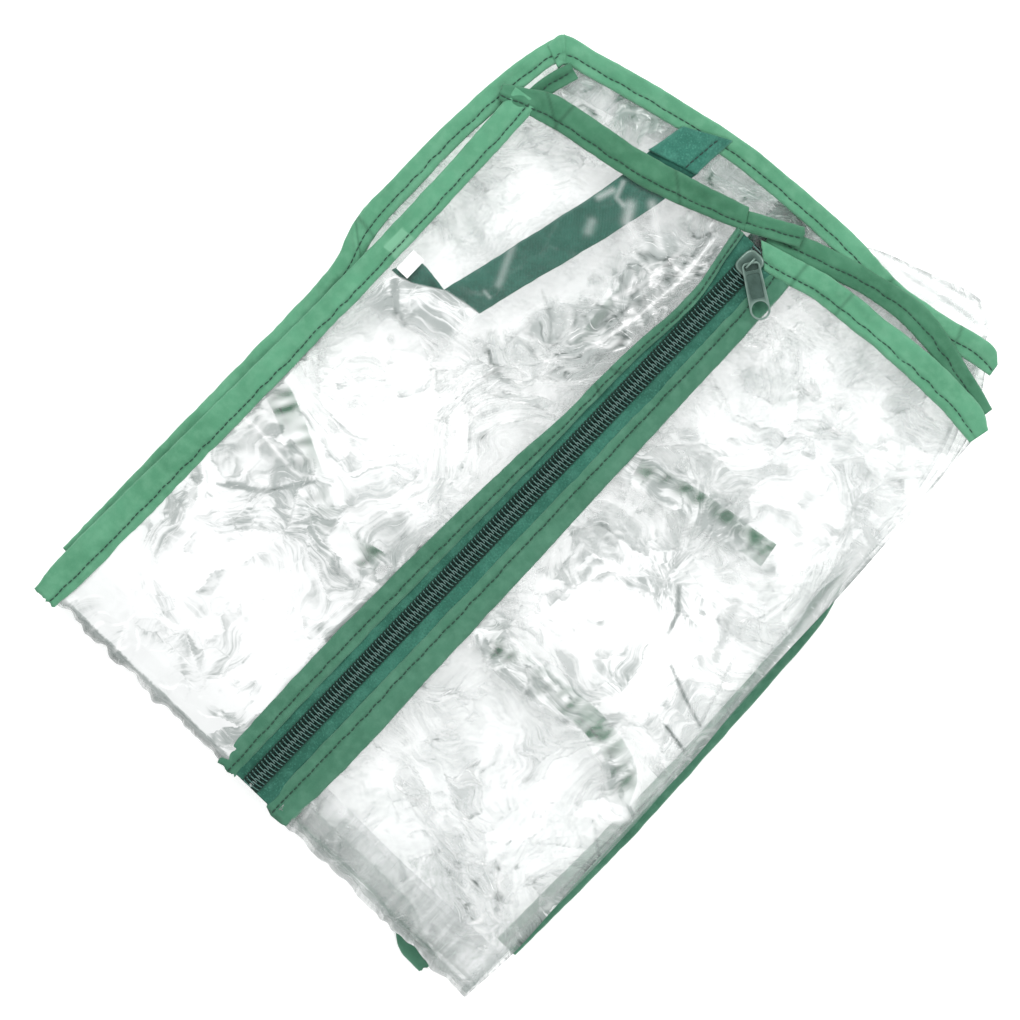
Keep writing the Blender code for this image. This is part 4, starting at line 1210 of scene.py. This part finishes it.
def stitch_rows(name, body, rows, radius=0.24):
    """Black thread that holds the coils to their tapes."""
    verts, faces, slots = [], [], []
    for k, (path, stitch, gap) in enumerate(rows):
        p = spline(path, 200)
        capsule_run(verts, faces, slots, p, np.tile([0, 0, 1], (len(p), 1)), stitch=stitch, gap=gap,
                    radius=radius, slot=0, seed=80 + k)
    obj = new_object(name, verts, faces, [THREAD_BLACK])
    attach(obj, body)


stitch_rows("zip_coil_stitches", FL, [
    ([(-5, -209, 17.5), (-5, 0, 17.5), (-5, 152, 17.5)], 1.35, 0.82),
    ([(5, -209, 17.5), (5, 0, 17.5), (5, 152, 17.5)], 1.35, 0.82),
    ([(-3.3, -209, 18.9), (-3.3, 0, 18.9), (-3.3, 141, 18.9)], 1, 1.17),
    ([(3.3, -209, 18.9), (3.3, 0, 18.9), (3.3, 141, 18.9)], 1, 1.17)], radius=0.30)


# ---------------------------------------------------------------- slider
def lofted(name, sections, material, body, node, edges):
    """Closed rings joined into one shell and capped; edges marks lighter rims, partly wear and partly
    painted highlight.
    """
    rings = [np.asarray(r, float) for r in sections]
    count = len(rings[0])
    verts = np.concatenate(rings)
    faces = grid_faces(len(rings), count, wrap=True)
    faces.append(tuple(range(count - 1, -1, -1)))
    faces.append(tuple((len(rings) - 1) * count + k for k in range(count)))
    obj = new_object(name, verts, faces, [material])
    point_attribute(obj, "edge", np.repeat(np.asarray(edges, float), count))
    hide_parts(node)
    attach(obj, body)


def squared(cx, cy, half_x, half_y, z, power=3.2, count=40, taper=0.0):
    """A rounded rectangle; taper widens it towards -Y."""
    a = np.linspace(0, 2 * math.pi, count, endpoint=False)
    c, s = np.cos(a), np.sin(a)
    px = np.sign(c) * np.abs(c) ** (2 / power)
    py = np.sign(s) * np.abs(s) ** (2 / power)
    wide = half_x * (1 - taper * py)
    return np.stack([cx + wide * px, cy + half_y * py, np.full(count, z)], 1)


SLIDER = (0.0, 151.0)
BODY_HALF_X, BODY_HALF_Y = 5.95, 6.85
BRIDGE_TOP = 22.88
# Height, share of the full outline and rim lightening (wear and painted highlight) of each ring of the
# slider's body
levels = ((15.0, 0.86, 0.2), (15.4, 0.97, 0.7), (16.6, 1.0, 0.1), (17.6, 0.93, 0.0), (18.6, 0.99, 0.0),
          (19.35, 0.97, 0.55), (19.75, 0.90, 0.9), (19.95, 0.80, 0.25), (19.98, 0.45, 0.0),
          (19.98, 0.05, 0.0))
lofted("slider_body_piece", [squared(*SLIDER, BODY_HALF_X * k, BODY_HALF_Y * k, z, 3.4,
       taper=0.04) for z, k, _ in levels],
       PAINT, "slider", "slider_body", [w for _, _, w in levels])

# The bridge is a low arch along the zip with a rounded section
arch = np.linspace(0, math.pi, 19)
along = SLIDER[1] + 3.35 * np.cos(arch)
rise = 20.25 + 2.2 * np.sin(arch) ** 0.55
section = np.linspace(0, 2 * math.pi, 12, endpoint=False)
slope = np.stack([np.gradient(along), np.gradient(rise)], 1)
slope /= np.linalg.norm(slope, axis=1)[:, None]
rings = [np.stack([SLIDER[0] + 0.52 * np.cos(section), along[k] - slope[k, 1] * 0.36 * np.sin(section),
                   np.minimum(rise[k] + slope[k, 0] * 0.36 * np.sin(section), BRIDGE_TOP)],
                   1) for k in range(19)]
# The bridge is lighter towards the top of its arch: partly wear, partly painted highlight.
lofted("slider_bridge_piece", rings, PAINT, "slider", "slider_bridge",
       0.35 + 0.65 * np.sin(arch))

# The pull tab: a frame round the bridge, a raised rim, a sunk plate and a round hole
TAB_HEADING = math.radians(-34.2)
TAB_END, TAB_RADIUS, TAB_HOLE = 23.5, 5.2, 4.2
TAB_LOW, TAB_TOP = 20.4, 21.6


def turn(cx, cy, radius, first, last, steps):
    a = np.radians(np.linspace(first, last, steps))
    return [(cx + radius * math.cos(t), cy + radius * math.sin(t)) for t in a]


def prism_object(name, outline, low, high):
    count = len(outline)
    verts = [(x, y, low) for x, y in outline] + [(x, y, high) for x, y in outline]
    faces = [tuple(range(count - 1, -1, -1)), tuple(range(count, 2 * count))]
    faces += [(k, (k + 1) % count, count + (k + 1) % count, count + k) for k in range(count)]
    return new_object(name, verts, faces, [], smooth=False)


def rounded(x0, x1, half, radius):
    """A rounded rectangle, anticlockwise."""
    steps = 7
    return (turn(x1 - radius, half - radius, radius, 0, 90, steps)
            + turn(x0 + radius, half - radius, radius, 90, 180, steps)
            + turn(x0 + radius, radius - half, radius, 180, 270, steps)
            + turn(x1 - radius, radius - half, radius, 270, 360, steps))


def pull_tab_piece():
    outline = (turn(TAB_END, 0, TAB_RADIUS, -86, 86, 33) + turn(1.8, 2.2, 2.4, 90, 180, 11)
               + turn(1.8, -2.2, 2.4, 180, 270, 11))
    blank = prism_object("tab_blank", outline, TAB_LOW, TAB_TOP)
    tools = [prism_object("tab_loop", rounded(0.6, 3.6, 3.5, 0.9), TAB_LOW - 1, TAB_TOP + 1),
             prism_object("tab_end", turn(TAB_END, 0, TAB_HOLE, 0, 352.5, 48), TAB_LOW - 1, TAB_TOP + 1),
             prism_object("tab_sunk", rounded(5.2, 18.0, 3.35, 1.3), TAB_TOP - 0.38, TAB_TOP + 1)]
    for tool in tools:
        cut = blank.modifiers.new(tool.name, "BOOLEAN")
        cut.operation, cut.object = "DIFFERENCE", tool
    rim = blank.modifiers.new("rim", "BEVEL")
    rim.width, rim.segments, rim.limit_method = 0.17 * MM, 3, "ANGLE"
    bpy.context.view_layer.update()
    shaped = bpy.data.meshes.new_from_object(blank.evaluated_get(bpy.context.evaluated_depsgraph_get()))
    v = np.array([p.co for p in shaped.vertices]) / MM
    faces = [tuple(f.vertices) for f in shaped.polygons]
    for item in tools + [blank]:
        bpy.data.objects.remove(item)
    edge_line = outline + [outline[0]]
    rim_near = np.minimum(line_distance(v[:, 0], v[:, 1], edge_line),
                          np.abs(np.hypot(v[:, 0] - TAB_END, v[:, 1]) - TAB_HOLE))
    # Lighter rims and hole edge on the top face only: partly wear, partly painted highlight.
    wear_and_highlight = np.where(v[:, 2] > TAB_TOP - 0.12, 0.9 * np.exp(-(rim_near / 0.7) ** 2) + 0.12, 0.0)
    c, sn = math.cos(TAB_HEADING), math.sin(TAB_HEADING)
    x, y = v[:, 0] * c - v[:, 1] * sn + SLIDER[0], v[:, 0] * sn + v[:, 1] * c + SLIDER[1]
    obj = new_object("pull_tab_piece", np.stack([x, y, v[:, 2]], 1), faces, [PAINT], smooth=False)
    point_attribute(obj, "edge", wear_and_highlight)
    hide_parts("pull_tab")
    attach(obj, "pull_tab")


pull_tab_piece()


# ---------------------------------------------------------------- carried-over CAD nodes
def dress(node, material):
    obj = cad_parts[node]
    obj.data.materials.clear()
    obj.data.materials.append(material)


def label_material():
    n = Nodes("label")
    weave = n.noise(1200.0, 2.0)
    n.put("Base Color", n.mix(n.ramp(weave, 0.3, 0.7), (0.92, 0.93, 0.92), (0.80, 0.82, 0.81)))
    n.put("Roughness", n.ramp(weave, 0.3, 0.7, 0.5, 0.7))
    n.put("Normal", n.bump(weave, 0.0001, 0.5))
    return n.mat


dress("zip_bottom_stop", PAINT)
dress("care_label", label_material())


# ---------------------------------------------------------------- stage
def stage_material():
    n = Nodes("pale_floor")
    grain = n.noise(3.0, 2.0)
    n.put("Base Color", n.mix(n.ramp(grain, 0.3, 0.7), (0.93, 0.93, 0.93), (0.95, 0.95, 0.95)))
    n.put("Roughness", 0.9)
    n.put("Specular IOR Level", 0.0)
    n.put("Emission Color", (1.0, 1.0, 1.0, 1.0))
    n.put("Emission Strength", 0.35)
    return n.mat


FLOOR_HALF, FLOOR_DROP = 4000, 0.05
corners = ((-1, -1), (1, -1), (1, 1), (-1, 1))
floor = new_object("floor", [(a * FLOOR_HALF, b * FLOOR_HALF, -FLOOR_DROP) for a, b in corners],
                   [(0, 1, 2, 3)], [stage_material()], smooth=False)
floor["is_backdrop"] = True

world = bpy.data.worlds.new("studio")
bpy.context.scene.world = world
world.use_nodes = True
world.node_tree.nodes["Background"].inputs["Color"].default_value = (1.0, 1.0, 1.0, 1.0)
world.node_tree.nodes["Background"].inputs["Strength"].default_value = 0.70


def softbox(name, place, size, power):
    light = bpy.data.lights.new(name, "AREA")
    light.shape = "RECTANGLE"
    light.size, light.size_y = size
    light.energy = power
    obj = bpy.data.objects.new(name, light)
    obj.location = place
    obj.rotation_euler = (-Vector(place)).to_track_quat("-Z", "Y").to_euler()
    bpy.context.scene.collection.objects.link(obj)


softbox("softbox_key", (-0.95, 0.75, 1.15), (0.9, 0.7), 15.5)
softbox("softbox_fill", (1.05, -0.55, 1.2), (0.8, 0.6), 6.5)
softbox("softbox_back", (0.55, 1.15, 0.9), (0.6, 0.4), 5.2)

camera = bpy.data.cameras.new("camera")
camera.lens = 85.0
camera.sensor_width = 36.0
camera_object = bpy.data.objects.new("camera", camera)
bpy.context.scene.collection.objects.link(camera_object)
CENTRE = Vector((-0.0015, -0.0204, 0.016))
VIEW_WIDTH = 0.510
distance = VIEW_WIDTH / 2 / math.tan(math.atan(18.0 / camera.lens))
right = Vector((0.7221, 0.6918, 0.0)).normalized()
up = Vector((-0.6918, 0.7221, 0.0)).normalized()
back = right.cross(up)
camera_object.matrix_world = Matrix.Translation(CENTRE + back * distance) @ Matrix(
    (right, up, back)).transposed().to_4x4()
bpy.context.scene.camera = camera_object
bpy.context.scene.view_settings.view_transform = "Standard"
bpy.context.scene.cycles.transparent_max_bounces = 32
bpy.context.scene.cycles.max_bounces = 12

low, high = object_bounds()
